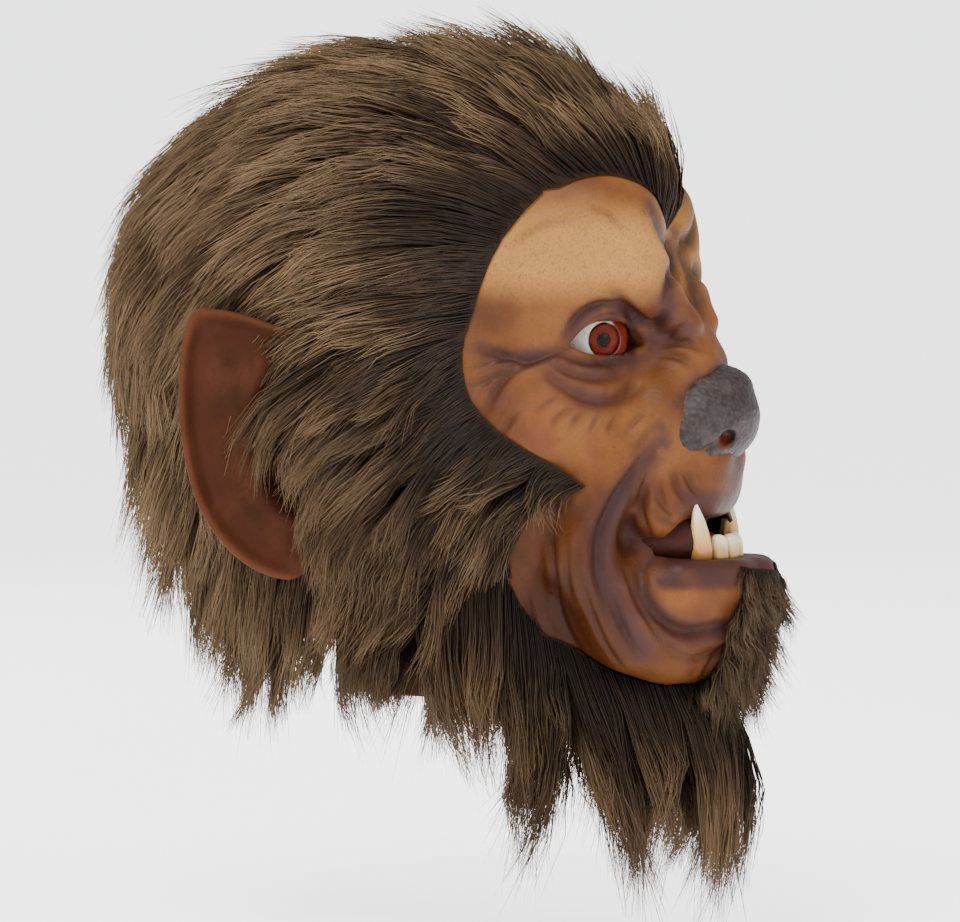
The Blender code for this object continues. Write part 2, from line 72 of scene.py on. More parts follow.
# %% Units and small helpers
MM = 0.001
DETAIL = 1.16  # size of the smallest cells of the face, in mm


def row(*numbers):
    """A row of numbers as an array."""
    return np.array(numbers, float)


def unit(vectors):
    length = np.linalg.norm(vectors, axis=-1, keepdims=True)
    return vectors / np.maximum(length, 1e-9)


def smoothstep(low, high, value):
    t = np.clip((value - low) / (high - low), 0.0, 1.0)
    return t * t * (3.0 - 2.0 * t)


def new_object(name, points, faces, smooth=True):
    """A mesh object at the origin from points in millimetres."""
    mesh = bpy.data.meshes.new(name)
    mesh.from_pydata((np.asarray(points) * MM).tolist(), [], [list(f) for f in faces])
    mesh.validate()
    if smooth:
        mesh.shade_smooth()
    made = bpy.data.objects.new(name, mesh)
    bpy.context.scene.collection.objects.link(made)
    return made


def points_of(thing):
    """An object's vertices, in millimetres."""
    found = np.empty(len(thing.data.vertices) * 3, np.float32)
    thing.data.vertices.foreach_get("co", found)
    return found.reshape(-1, 3).astype(float) / MM


def place_points(thing, points):
    flat = (np.asarray(points) * MM).astype(np.float32).ravel()
    thing.data.vertices.foreach_set("co", flat)
    thing.data.update()


def paint(thing, name, values):
    """Stores one number per vertex, for a material to read."""
    layer = thing.data.attributes.new(name, "FLOAT", "POINT")
    layer.data.foreach_set("value", np.asarray(values, np.float32).ravel())


def finish_mesh(thing):
    """The object's modifiers are turned into plain mesh."""
    graph = bpy.context.evaluated_depsgraph_get()
    made = bpy.data.meshes.new_from_object(thing.evaluated_get(graph))
    thing.modifiers.clear()
    old, thing.data = thing.data, made
    made.name = thing.name
    bpy.data.meshes.remove(old)


def on_frame(thing, material, slot, *nodes):
    """Gives a piece its finish and its place in the frame."""
    thing.data.materials.clear()
    thing.data.materials.append(material)
    if nodes:
        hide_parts(*nodes)
    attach(thing, "root")
    thing.data.calc_loop_triangles()
    print(thing.name, len(thing.data.loop_triangles), "triangles")


# %% [markdown]
# The mask is looked at from its right and slightly from the front, at eye level, through
# a long lens. The light is a large soft box over the camera's left shoulder, a weaker one
# from the front of the face, and a pale room.

# %% Camera, lights and floor
CAMERA_AZIMUTH = math.radians(-72.0)
CAMERA_RISE = math.radians(3.0)
CAMERA_DISTANCE = 3.0
AIM = Vector((0.0, 0.0009, 0.0975))

camera = bpy.data.objects.new("camera", bpy.data.cameras.new("camera"))
bpy.context.scene.collection.objects.link(camera)
toward = Vector((
    math.sin(CAMERA_AZIMUTH) * math.cos(CAMERA_RISE),
    -math.cos(CAMERA_AZIMUTH) * math.cos(CAMERA_RISE),
    math.sin(CAMERA_RISE),
))
camera.location = AIM + toward * CAMERA_DISTANCE
camera.rotation_euler = (-toward).to_track_quat("-Z", "Y").to_euler()
camera.data.lens = 261.0
camera.data.clip_end = 50.0
bpy.context.scene.camera = camera


def soft_light(name, place, size, power, colour):
    lamp = bpy.data.lights.new(name, "AREA")
    lamp.shape = "DISK"
    lamp.size = size
    lamp.energy = power
    lamp.color = colour
    holder = bpy.data.objects.new(name, lamp)
    holder.location = place
    aim = Vector(place) - Vector((0.0, 0.0, 0.1))
    holder.rotation_euler = aim.to_track_quat("Z", "Y").to_euler()
    bpy.context.scene.collection.objects.link(holder)


soft_light("key_light", (-1.3, 0.1, 1.7), 1.0, 60.0, (1.0, 0.98, 0.95))
soft_light("front_light", (-0.9, -1.7, 0.8), 0.9, 18.0, (1.0, 0.98, 0.96))
soft_light("back_light", (1.3, 1.3, 1.2), 1.2, 26.0, (0.95, 0.97, 1.0))

world = bpy.data.worlds.new("pale_room")
world.use_nodes = True
room = world.node_tree.nodes["Background"]
room.inputs["Color"].default_value = (0.97, 0.98, 1.0, 1.0)
sight = world.node_tree.nodes.new("ShaderNodeLightPath")
level = world.node_tree.nodes.new("ShaderNodeMapRange")
level.inputs["To Min"].default_value = 0.95  # what lights the mask
level.inputs["To Max"].default_value = 2.9  # how bright the backdrop looks
world.node_tree.links.new(sight.outputs["Is Camera Ray"], level.inputs["Value"])
world.node_tree.links.new(level.outputs["Result"], room.inputs["Strength"])
bpy.context.scene.world = world

FLOOR_LEVEL = cad_low.z - 0.004
floor_mesh = bpy.data.meshes.new("floor")
floor_mesh.from_pydata([(-40, -40, FLOOR_LEVEL), (40, -40, FLOOR_LEVEL),
                        (40, 40, FLOOR_LEVEL), (-40, 40, FLOOR_LEVEL)], [], [(0, 1, 2, 3)])
floor = bpy.data.objects.new("floor", floor_mesh)
bpy.context.scene.collection.objects.link(floor)
floor_paint = bpy.data.materials.new("floor_paint")
floor_paint.use_nodes = True
floor_shader = floor_paint.node_tree.nodes["Principled BSDF"]
floor_shader.inputs["Base Color"].default_value = (0.93, 0.93, 0.94, 1.0)
floor_shader.inputs["Roughness"].default_value = 0.9
floor_shader.inputs["Specular IOR Level"].default_value = 0.0
floor_shader.inputs["Emission Color"].default_value = (1.0, 1.0, 1.0, 1.0)
floor_shader.inputs["Emission Strength"].default_value = 2.0  # as bright as the backdrop
floor_mesh.materials.append(floor_paint)

# %% [markdown]
# A sculptor starts the head from big lumps of clay pressed together and only then adds
# the brow, the lids and the lips. The same is done here with a distance field: each lump
# is an ellipsoid or a tapered limb, a smooth union presses it into the rest, and a smooth
# difference scoops clay away. The first lumps are the ones that the frame's head is made
# of, so both heads agree under the fur.

# %% The clay: a distance field on a grid
fine_x = np.arange(0.0, 72.0, DETAIL)
coarse_x = np.linspace(72.0, 92.0, 9)
side_x = np.concatenate([fine_x, coarse_x])
grid_x = np.concatenate([-side_x[:0:-1], side_x])
front_y = np.arange(-136.0, -12.0, DETAIL)
back_y = -12.0 + 158.0 * np.linspace(0.0, 1.0, 46) ** 1.15
grid_y = np.concatenate([front_y, back_y])
face_z = np.arange(-3.0, 222.0, DETAIL)
crown_z = np.linspace(223.0, 266.0, 13)
grid_z = np.concatenate([face_z, crown_z])
GRID = (grid_x, grid_y, grid_z)
clay = np.full(tuple(len(axis) for axis in GRID), 500.0, np.float32)


def block(low, high):
    """The part of the grid between two corners: its slices and its coordinates."""
    cuts = tuple(
        slice(max(0, int(np.searchsorted(axis, a)) - 1), int(np.searchsorted(axis, b)) + 1)
        for axis, a, b in zip(GRID, low, high)
    )
    places = [axis[cut].astype(np.float32) for axis, cut in zip(GRID, cuts)]
    return cuts, np.meshgrid(*places, indexing="ij", sparse=True)


def smooth_union(first, second, width):
    mix = np.clip(0.5 + 0.5 * (second - first) / width, 0.0, 1.0)
    return second * (1.0 - mix) + first * mix - width * mix * (1.0 - mix)


def ellipsoid(x, y, z, centre, radii):
    a, b, c = ((v - m) / r for v, m, r in zip((x, y, z), centre, radii))
    length = np.sqrt(a * a + b * b + c * c)
    slope = np.sqrt((a / radii[0]) ** 2 + (b / radii[1]) ** 2 + (c / radii[2]) ** 2)
    return length * (length - 1.0) / np.maximum(slope, 1e-6)


def limb(x, y, z, start, end, thick, thin):
    """A round limb that tapers from one end to the other."""
    along = row(*end) - row(*start)
    share = ((x - start[0]) * along[0] + (y - start[1]) * along[1] + (z - start[2]) * along[2])
    share = np.clip(share / (along @ along), 0.0, 1.0)
    gap = (x - start[0] - share * along[0]) ** 2 + (y - start[1] - share * along[1]) ** 2
    gap = gap + (z - start[2] - share * along[2]) ** 2
    return np.sqrt(gap) - thick - (thin - thick) * share


def press(shape, low, high, width, scoop=False):
    """Adds a shape to the clay between two corners, or scoops it out."""
    cuts, (x, y, z) = block(low, high)
    distance = shape(x, y, z)
    if scoop:
        clay[cuts] = -smooth_union(-clay[cuts], distance, width)
    else:
        clay[cuts] = smooth_union(clay[cuts], distance, width)


def press_lump(centre, radii, width, scoop=False):
    for side in (1, -1) if centre[0] else (1,):
        middle = row(centre[0] * side, centre[1], centre[2])
        reach = row(*radii) + width * 1.5 + 3.0
        press(lambda x, y, z: ellipsoid(x, y, z, middle, radii),
              middle - reach, middle + reach, width, scoop)


def press_limb(start, end, thick, thin, width, scoop=False):
    for side in (1, -1):
        first = row(start[0] * side, start[1], start[2])
        last = row(end[0] * side, end[1], end[2])
        reach = max(thick, thin) + width * 1.5 + 3.0
        press(lambda x, y, z: limb(x, y, z, first, last, thick, thin),
              np.minimum(first, last) - reach, np.maximum(first, last) + reach, width, scoop)


# %% Big lumps: skull, neck, face, jaw
NECK_HALF_WIDTH, NECK_HALF_DEPTH = 60.0, 62.0
HEAD_LUMPS = [
    ((0, 38, 163), (84, 102, 98), 14),  # cranium
    ((0, 30, 110), (77, 82, 80), 25),  # ears' level and back of the head
    ((0, -14, 192), (62, 66, 62), 20),  # forehead
    ((0, -22, 110), (66, 62, 95), 20),  # face
    ((46, -46, 124), (24, 26, 26), 14),  # cheekbone
    ((0, -76, 97), (36, 37, 36), 14),  # muzzle
    ((0, -88, 136), (17, 20, 28), 14),  # bridge of the nose
    ((0, -72, 38), (46, 52, 33), 14),  # lower jaw
]
whole = block(row(-500, -500, -500), row(500, 500, 500))[1]
neck = np.sqrt(whole[0] ** 2 + (whole[1] * NECK_HALF_WIDTH / NECK_HALF_DEPTH) ** 2)
clay[:] = np.maximum(neck - NECK_HALF_WIDTH, whole[2] - 90.0)
for centre, radii, width in HEAD_LUMPS:
    for side in (1, -1) if centre[0] else (1,):
        middle = (centre[0] * side, centre[1], centre[2])
        clay[:] = smooth_union(clay, ellipsoid(*whole, middle, radii), width)
print("clay grid:", clay.shape)

# %% [markdown]
# The face is built in the order in which its muscles overlap: brow, nose, cheek folds,
# lips. The eye sockets are scooped out before the lids go in, and each lid is a shell
# round the eyeball with an almond-shaped slit in it, so it hugs the ball as latex does.

# %% Brow, cheeks, muzzle and lips
press_limb((58, -26, 178), (26, -70, 178), 17, 19, 16)  # brow roll
press_lump((27, -62, 202), (24, 24, 22), 16)  # forehead above the brow
press_limb((20, -86, 170), (13, -96, 158), 8, 6, 8)  # frown between the brows
press_limb((24, -88, 121), (46, -66, 92), 9, 11, 12)  # cheek fold beside the muzzle
press_limb((46, -66, 92), (50, -60, 58), 11, 10, 12)
press_limb((50, -60, 58), (40, -78, 24), 10, 12, 14)
press_limb((12, -102, 101), (33, -89, 77), 11, 7.5, 10)  # upper lip
press_limb((0, -99, 90), (13, -100, 86), 11, 10, 8)
press_lump((0, -88, 46), (40, 42, 14), 9)  # lower lip
press_limb((0, -121, 52), (17, -117, 52.5), 6.5, 6, 8)  # its rolled edge
press_limb((17, -117, 52.5), (33, -99, 53.5), 6, 5, 8)
press_limb((0, -104, 22), (26, -92, 20), 15, 14, 12)  # chin
press_limb((9, -98, 140), (20, -86, 128), 8, 7, 8)  # side of the nose
press_lump((37, -76, 152), (16, 14, 11), 8, scoop=True)  # eye socket

# %% Eyelids
EYE_CENTRE = row(27, -56, 152)
EYE_GAZE = unit(row(0.62, -0.78, 0.03))
EYE_RADIUS = 17.0
LID_RADIUS = 19.6
LID_HALF_WIDTH = 21.5


def almond(u):
    """Upper and lower edge of the eye opening, u along its width."""
    bow = 1.0 - np.minimum(np.abs(u) / LID_HALF_WIDTH, 1.3) ** 2.6
    return -3.0 + 10.5 * bow, -3.0 - 4.5 * bow


for side in (1, -1):
    centre = EYE_CENTRE * row(side, 1, 1)
    gaze = EYE_GAZE * row(side, 1, 1)
    across = unit(np.cross(gaze, row(0, 0, 1)))
    upward = np.cross(across, gaze)

    def eye_frame(x, y, z):
        offset = (x - centre[0], y - centre[1], z - centre[2])
        return [sum(a * b for a, b in zip(offset, axis)) for axis in (across, upward, gaze)]

    def lid_ball(x, y, z):
        return np.sqrt(sum(v * v for v in eye_frame(x, y, z))) - LID_RADIUS

    def slit(x, y, z):
        u, v, w = eye_frame(x, y, z)
        top, bottom = almond(u)
        inside = EYE_RADIUS + 0.4 - np.sqrt(u * u + v * v + w * w)
        return np.maximum(np.maximum(v - top, bottom - v), np.maximum(inside, -w))

    reach = LID_RADIUS + 8.0
    press(lid_ball, centre - reach, centre + reach, 5.0)
    press(slit, centre - reach, centre + reach, 1.6, scoop=True)


# %% Mouth opening
MOUTH_CORNER = -90.0  # how far forward the corners are, along Y
LIP_LEVEL = 60.0


def mouth_gap(x, y, z):
    """The space between the lips, back to the mouth lining; it closes at the corners."""
    beside = smoothstep(14.0, 33.0, np.abs(x))
    reach = beside * np.clip((y + 122.0) / (122.0 + MOUTH_CORNER), 0.0, 1.3)
    top = LIP_LEVEL + 1.5 + 13.0 * (1.0 - reach**3.0)
    bottom = LIP_LEVEL - 1.0 + 1.6 * reach**4
    return np.maximum(np.maximum(bottom - z, z - top), y + 80.0)


press(mouth_gap, row(-46, -140, 46), row(46, -72, 92), 3.5, scoop=True)
clay[:] = np.maximum(clay, -whole[2])  # the cut neck rim
print("clay ready")

# %% [markdown]
# Casting: the surface where the field is zero becomes a mesh. The grid is finer over the
# bare face than under the fur, so the triangles go where they are seen. The floors of the
# eye and mouth openings and the flat cut at the neck are then taken out.

# %% Cast the skin
volume = openvdb.FloatGrid(500.0)
volume.copyFromArray(clay)
cells, quads = volume.convertToQuads(isovalue=0.0)
skin_points = np.stack(
    [np.interp(cells[:, k], np.arange(len(GRID[k])), GRID[k]) for k in range(3)], axis=-1
)


def eye_depth(points):
    """Distance from the nearer eyeball's centre."""
    folded = points * row(1, 1, 1)
    folded[:, 0] = np.abs(folded[:, 0])
    return np.linalg.norm(folded - EYE_CENTRE, axis=1)


corners = skin_points[quads]
in_eye = eye_depth(corners.mean(axis=1)) < EYE_RADIUS + 0.9
mouth_floor = (np.abs(corners[..., 1] + 80.0) < 1.0).all(axis=1)
mouth_floor &= (np.abs(corners[..., 0]) < 27.0).all(axis=1)
mouth_floor &= (corners[..., 2] > 57.0).all(axis=1) & (corners[..., 2] < 79.0).all(axis=1)
at_neck = (corners[..., 2] < 0.5).all(axis=1)
kept = quads[~(in_eye | mouth_floor | at_neck)][:, ::-1]
used = np.unique(kept)
renumber = np.zeros(len(skin_points), int)
renumber[used] = np.arange(len(used))
skin = new_object("head_latex", skin_points[used], renumber[kept])
print("skin quads:", len(kept))

# %% [markdown]
# The wrinkles, the paint and the hair all have to know where the latex is. The clay is
# still in memory, so its distance can be read at any point: zero is on the latex, more is
# above it. A pattern drawn on a sheet beside the right cheek can then be pressed straight
# onto the face, the way a sculptor transfers a drawing.

# %% Reading the clay
HEAD_MIDDLE = row(0, 0, 120)


def clay_at(points):
    """The clay's distance at any points, in millimetres."""
    low, share, inside = [], [], points.copy()
    for k, axis in enumerate(GRID):
        inside[..., k] = np.clip(points[..., k], axis[0], axis[-1])
        place = np.interp(inside[..., k], axis, np.arange(len(axis)))
        base = np.minimum(place.astype(int), len(axis) - 2)
        low.append(base)
        share.append(place - base)
    total = np.linalg.norm(points - inside, axis=-1)
    for corner in np.ndindex(2, 2, 2):
        weight = 1.0
        for step, part in zip(corner, share):
            weight = weight * (part if step else 1.0 - part)
        spot = tuple(base + step for base, step in zip(low, corner))
        total = total + weight * clay[spot]
    return total


def outward(points):
    """The direction straight away from the latex."""
    slopes = []
    for k in range(3):
        step = np.zeros(3)
        step[k] = 2.0
        slopes.append(clay_at(points + step) - clay_at(points - step))
    return unit(np.stack(slopes, axis=-1))


def directions(azimuth, elevation):
    """Unit vectors from the head's middle: azimuth 0 is the face, 90 the right ear."""
    a, e = np.radians(azimuth), np.radians(elevation)
    return np.stack([-np.sin(a) * np.cos(e), -np.cos(a) * np.cos(e), np.sin(e)], axis=-1)


def on_scalp(azimuth, elevation, height):
    """Points this far above the latex, seen from the head's middle in these directions."""
    heading = directions(azimuth, elevation)
    reach = np.full(heading.shape[:-1], 200.0)
    for _ in range(60):
        gap = clay_at(HEAD_MIDDLE + heading * reach[..., None]) - height
        reach = reach - 0.8 * gap
    return HEAD_MIDDLE + heading * reach[..., None]


def along(table, value):
    """Reads a table of pairs at any value between them."""
    keys, values = zip(*table)
    return np.interp(value, keys, values)


SHEET_NORMAL = row(*toward)
SHEET_ACROSS = unit(np.cross(row(0, 0, 1), SHEET_NORMAL))
SHEET_UP = np.cross(SHEET_NORMAL, SHEET_ACROSS)


def smooth_line(knots, spacing=0.9):
    """A soft curve through given points."""
    ends = np.vstack([2 * knots[0] - knots[1], knots, 2 * knots[-1] - knots[-2]])
    found = []
    for a, b, c, d in zip(ends, ends[1:], ends[2:], ends[3:]):
        t = np.arange(0.0, 1.0, spacing / max(np.linalg.norm(c - b), spacing))[:, None]
        found.append(0.5 * (2 * b + (c - a) * t + (2 * a - 5 * b + 4 * c - d) * t**2
                            + (3 * b - a - 3 * c + d) * t**3))
    return np.vstack(found + [knots[-1:]])


def pressed(pairs):
    """A line drawn on the sheet, pressed onto the latex; x is folded to the left side."""
    drawn = smooth_line(np.array(pairs, float))
    spots = SHEET_ACROSS * drawn[:, :1] + SHEET_UP * drawn[:, 1:] + SHEET_NORMAL * 140.0
    for _ in range(90):
        spots = spots - SHEET_NORMAL * (0.7 * clay_at(spots))[:, None]
    spots[:, 0] = np.abs(spots[:, 0])
    return spots


def nearest_on(line, points):
    """Each point's distance to a line, and how far along the line it is, 0 to 1."""
    gaps = np.linalg.norm(points[:, None, :] - line[None, :, :], axis=2)
    best = gaps.argmin(axis=1)
    return gaps[np.arange(len(points)), best], best / max(len(line) - 1, 1)


# %% [markdown]
# A mask's wrinkles are cut into the clay with a loop tool. Each stroke below is one pull
# of such a tool: its width and depth, how much dark wash settles in it, and the points it
# runs through. That dark wash is partly painted shade in the fold. The skin's vertices
# sink along the stroke and swell a little beside it.
# The folds are a generic old beast's: crow's feet, bags under the eyes, a snarl beside
# the muzzle and slack cheeks.

# %% Wrinkles
WRINKLES = [  # width, depth, wash, points across and up in millimetres
    (2.2, 2.4, 1.0, [(-4, 146), (4, 143), (12, 141), (21, 140), (29, 143), (36, 146.5)]),
    (1.6, 1.5, 0.7, [(-7, 130), (-1, 130), (6, 133), (13, 137), (19, 139)]),
    (1.6, 1.6, 0.7, [(1, 117), (4, 124), (8, 130), (14, 135), (22, 138)]),
    (1.3, 0.9, 0.5, [(-6, 136), (2, 138), (10, 140)]),
    (2.0, 2.2, 1.0, [(35, 147), (38, 155), (44, 161), (52, 163.5), (59, 162), (64, 156), (67, 149)]),
    (1.8, 1.8, 0.8, [(33, 142), (41, 139.5), (50, 138.5), (58, 139.5), (65, 143)]),
    (1.8, 1.8, 0.7, [(29, 139), (35, 135), (43, 132.5), (52, 132), (60, 134)]),
    (2.4, 2.0, 0.8, [(26, 136), (32, 130), (40, 125), (50, 122), (59, 124), (66, 129)]),
    (2.2, 2.6, 0.9, [(54, 171), (60, 164), (66, 159), (71, 156), (76, 157.5), (79, 161)]),
    (3.4, 3.0, 1.0, [(72, 202), (77, 192), (80, 181), (79.5, 171), (77, 161)]),
    (2.0, 1.4, 0.7, [(80, 196), (85, 184), (89, 174), (92, 165), (94, 158)]),
    (1.4, 1.3, 0.5, [(75, 145.5), (82, 147.5), (88, 147), (93, 144.5)]),
    (1.4, 1.2, 0.5, [(75, 142.5), (82, 141.8), (88, 138.6)]),
    (1.5, 1.0, 0.4, [(77, 149), (82, 153), (88, 155)]),
    (1.3, 1.2, 0.5, [(8, 107), (10, 112), (15, 119)]),
    (1.2, 1.1, 0.5, [(22, 118), (27, 121.5), (32, 125)]),
    (1.2, 1.1, 0.5, [(28, 111), (32, 116), (38, 120.5)]),
    (1.2, 1.0, 0.5, [(37, 110), (40, 116), (44, 119)]),
    (1.1, 0.9, 0.45, [(45, 109), (48, 115.5), (51, 119)]),
    (1.1, 0.8, 0.4, [(53, 110), (56, 115.5)]),
    (1.2, 0.9, 0.4, [(60, 108), (64, 114), (70, 119)]),
    (1.3, 1.0, 0.4, [(66, 104), (70, 110), (75, 114)]),
    (3.6, 3.0, 1.0, [(79, 109), (71, 101), (64, 92), (58, 84), (54, 76), (50, 67), (49, 57),
                     (50, 47), (54, 36), (59, 26), (66, 16)]),
    (2.0, 1.6, 0.6, [(71, 94), (68, 86), (67, 78), (69, 70), (73, 63)]),
    (1.5, 1.5, 0.6, [(80, 95), (82, 87), (86, 81)]),
    (1.5, 1.4, 0.6, [(85, 93), (89, 86), (92, 83)]),
    (1.4, 1.2, 0.5, [(74, 88), (76, 80), (81, 74)]),
    (1.2, 1.0, 0.5, [(72, 76), (77, 72), (82, 69)]),
    (1.8, 1.6, 0.6, [(31, 83), (29.5, 70), (29.5, 58), (31, 45), (34, 31), (39, 21), (44, 13)]),
    (1.6, 1.4, 0.55, [(41, 66), (40.5, 53), (44, 40), (49, 27), (54, 17), (60, 9)]),
    (1.4, 1.1, 0.5, [(19, 42), (21, 31), (26, 21)]),
    (1.4, 1.0, 0.4, [(36, 60), (36, 48), (38, 38)]),
    (1.6, 1.4, 0.6, [(54, 43), (58, 31), (62, 22), (68, 14)]),
    (1.6, 1.5, 0.6, [(59.5, 54), (63, 43), (68, 33), (75, 23), (83, 16)]),
    (2.8, 3.0, 1.0, [(72, 58), (67, 51), (67.5, 42), (72, 34), (79, 28), (88, 25.5), (99, 27), (110, 28)]),
    (1.5, 1.3, 0.6, [(93, 4), (96, 11), (101, 17), (107, 21)]),
    (1.8, 1.2, 0.4, [(77, 18), (87, 14), (97, 16), (107, 21)]),
    (1.2, 0.8, 0.35, [(45, 204), (54, 201)]),
    (1.2, 0.8, 0.35, [(52, 203), (59, 195)]),
    (1.4, 0.8, 0.35, [(12, 188), (24, 196), (38, 199)]),
]

points = points_of(skin)
folded = np.stack([np.abs(points[:, 0]), points[:, 1], points[:, 2]], axis=-1)
normals = outward(points)
crease_wash_and_shade = np.zeros(len(points))
sink = np.zeros(len(points))
for width, depth, wash, pairs in WRINKLES:
    line = pressed(pairs)
    reach = 4.5 * width
    near = ((folded > line.min(axis=0) - reach) & (folded < line.max(axis=0) + reach)).all(axis=1)
    if not near.any():
        continue
    gap, place = nearest_on(line, folded[near])
    fade = np.sin(np.pi * np.clip(place, 0.02, 0.98)) ** 0.6
    groove = np.exp(-((gap / width) ** 2))
    shoulder = np.exp(-(((gap - 2.1 * width) / (1.1 * width)) ** 2))
    sink[near] += depth * fade * (groove - 0.32 * shoulder)
    # the wash darkens the fold: partly painted shade
    dark = wash * fade * np.exp(-((gap / (1.55 * width)) ** 2))
    crease_wash_and_shade[near] = 1.0 - (1.0 - crease_wash_and_shade[near]) * (1.0 - np.clip(dark, 0.0, 1.0))
print("wrinkles:", len(WRINKLES), "deepest", round(float(sink.max()), 2), "mm")

# %% [markdown]
# Latex is painted in thin layers: an ochre base, brown washes in the folds that are partly
# painted shade, purple-grey on the lids, the furrow and the lips, and dark brown round the
# nose and in the mouth. A reddish-brown flush crosses the cheeks, and painted shade darkens
# the head below the mouth, the jowls and the temples. Where each colour goes is stored on
# the vertices; the material mixes the paint.

# %% Where the paint goes
PURPLE_STROKES = [  # width, strength, points
    (6.0, 0.85, [(38, 147), (42, 157), (51, 161), (60, 160), (66, 152), (71, 147)]),
    (5.0, 0.75, [(22, 141), (33, 141), (45, 136), (56, 136), (66, 141)]),
    (5.0, 0.45, [(30, 133), (40, 127), (52, 124), (62, 128)]),
    (6.0, 0.80, [(66, 158), (72, 153), (80, 152), (88, 153)]),
    (5.0, 0.85, [(71, 205), (77, 193), (80, 181), (79.5, 170), (77, 158)]),
    (4.0, 0.60, [(81, 196), (87, 180), (92, 166)]),
    (6.0, 0.90, [(76, 104), (65, 92), (58, 80), (53, 68), (52, 57), (54, 44), (60, 30), (68, 19)]),
    (5.0, 0.60, [(62, 86), (60, 74), (63, 62)]),
    (5.0, 0.85, [(73, 57), (68, 49), (70, 38), (78, 29), (90, 25), (108, 26)]),
    (4.0, 0.50, [(-4, 146), (8, 141), (22, 139)]),
    (5.0, 0.35, [(-4, 126), (6, 124), (16, 122)]),
    (3.5, 0.70, [(76, 112), (82, 121), (90, 130), (99, 137), (108, 139)]),
    (4.5, 0.70, [(66, 66), (70, 62), (75, 60)]),
]
purple = np.zeros(len(points))
for width, strength, pairs in PURPLE_STROKES:
    line = pressed(pairs)
    reach = 3.0 * width
    near = ((folded > line.min(axis=0) - reach) & (folded < line.max(axis=0) + reach)).all(axis=1)
    if near.any():
        gap = nearest_on(line, folded[near])[0]
        layer = strength * np.exp(-((gap / width) ** 2))
        purple[near] = 1.0 - (1.0 - purple[near]) * (1.0 - layer)

x, y, z = points.T
eye_gap = eye_depth(points)
lower_band = smoothstep(45.0, 49.5, z) * smoothstep(62.0, 59.0, z) * smoothstep(-86.0, -94.0, y)
purple = np.maximum(purple, 0.92 * lower_band)
purple = np.maximum(purple, 0.9 * smoothstep(23.5, 20.5, eye_gap))
under_nose = np.exp(-((x / 11.0) ** 2)) * smoothstep(-100.0, -106.0, y)
under_nose *= smoothstep(104.0, 98.0, z) * smoothstep(62.0, 74.0, z)
upper_lip = smoothstep(92.0, 84.0, z) * smoothstep(60.0, 64.0, z) * smoothstep(-94.0, -102.0, y)
nose_gap = ellipsoid(x, y, z, (0, -104, 119), (24, 20, 20))
round_nose = smoothstep(3.5, 0.5, nose_gap)
dark = np.clip(np.maximum.reduce([under_nose, 0.95 * upper_lip, 0.8 * round_nose]), 0.0, 1.0)
lid_rim = smoothstep(18.9, 18.0, eye_gap)
dark = np.maximum(dark, np.maximum(0.75 * lid_rim, 0.8 * lower_band))

place_points(skin, points - normals * sink[:, None])
paint(skin, "crease_wash_and_shade", crease_wash_and_shade)
paint(skin, "purple", np.clip(purple, 0.0, 1.0))
paint(skin, "dark", dark)
# a reddish-brown flush in a band across the front of the face at cheek height, and below the mouth painted
# shade that darkens the lower head
flush_and_low_shade = np.exp(-(((z - 112.0) / 22.0) ** 2)) * smoothstep(-15.0, -45.0, y)
flush_and_low_shade = np.maximum(flush_and_low_shade, 0.8 * smoothstep(70.0, 40.0, z))
paint(skin, "flush_and_low_shade", np.clip(flush_and_low_shade, 0.0, 1.0))
forehead = smoothstep(165.0, 182.0, z) * smoothstep(215.0, 195.0, z)
paint(skin, "pale", np.clip(forehead, 0.0, 1.0))
jowl = smoothstep(112.0, 78.0, z) * smoothstep(-96.0, -70.0, y)
jowl = np.maximum(jowl, 0.7 * smoothstep(42.0, 22.0, z))
temple = 0.5 * smoothstep(-52.0, -24.0, y) * smoothstep(205.0, 150.0, z)
paint(skin, "shade", np.clip(np.maximum(jowl, temple), 0.0, 1.0))

# %% [markdown]
# Under the fur nobody sees the fine mesh, so it is thinned there by a Decimate modifier
# with a vertex group. Then the latex gets its inner wall, which the wearer feels.

# %% Thin the hidden latex and give it its inner wall
HAIRLINE = [(0, 43), (10, 45.5), (20, 48.5), (26, 50.5), (32, 52.5), (40, 53.4), (48, 53.2),
            (52, 55), (56, 57), (60, 58), (180, 58)]
TEMPLE_EDGE = [(24, 77.5), (33, 73), (39, 69.5), (45, 65), (49, 60), (52, 55), (54.2, 48), (58, 55)]
CHEEK_EDGE = [(-46, 61), (-38, 63.5), (-26, 54), (-18, 43), (-13, 52), (-9, 60), (-3, 69),
              (4, 75), (12, 78), (19, 78.3), (24, 77.5)]


def under_fur(points, margin):
    """True where the head is covered, this many degrees in from the fur's edge."""
    heading = unit(points - HEAD_MIDDLE)
    azimuth = np.degrees(np.arctan2(np.abs(heading[:, 0]), -heading[:, 1]))
    elevation = np.degrees(np.arcsin(np.clip(heading[:, 2], -1.0, 1.0)))
    above = elevation > along(HAIRLINE, azimuth) + margin
    temple = (elevation > 24.0) & (azimuth > along(TEMPLE_EDGE, elevation) + margin)
    cheek = (elevation <= 24.0) & (azimuth > along(CHEEK_EDGE, elevation) + margin)
    return above | temple | cheek | (elevation < -54.0)


covered = under_fur(points, 4.0) & (points[:, 2] > 2.0)
group = skin.vertex_groups.new(name="under_fur")
group.add(np.flatnonzero(covered).tolist(), 1.0, "REPLACE")
share_bare = 1.0 - covered.mean()
thinning = skin.modifiers.new("thin", "DECIMATE")
thinning.ratio = min(1.0, share_bare + 0.07)
thinning.vertex_group = "under_fur"
finish_mesh(skin)
skin.data.calc_loop_triangles()
print("bare share", round(float(share_bare), 2), "triangles", len(skin.data.loop_triangles))

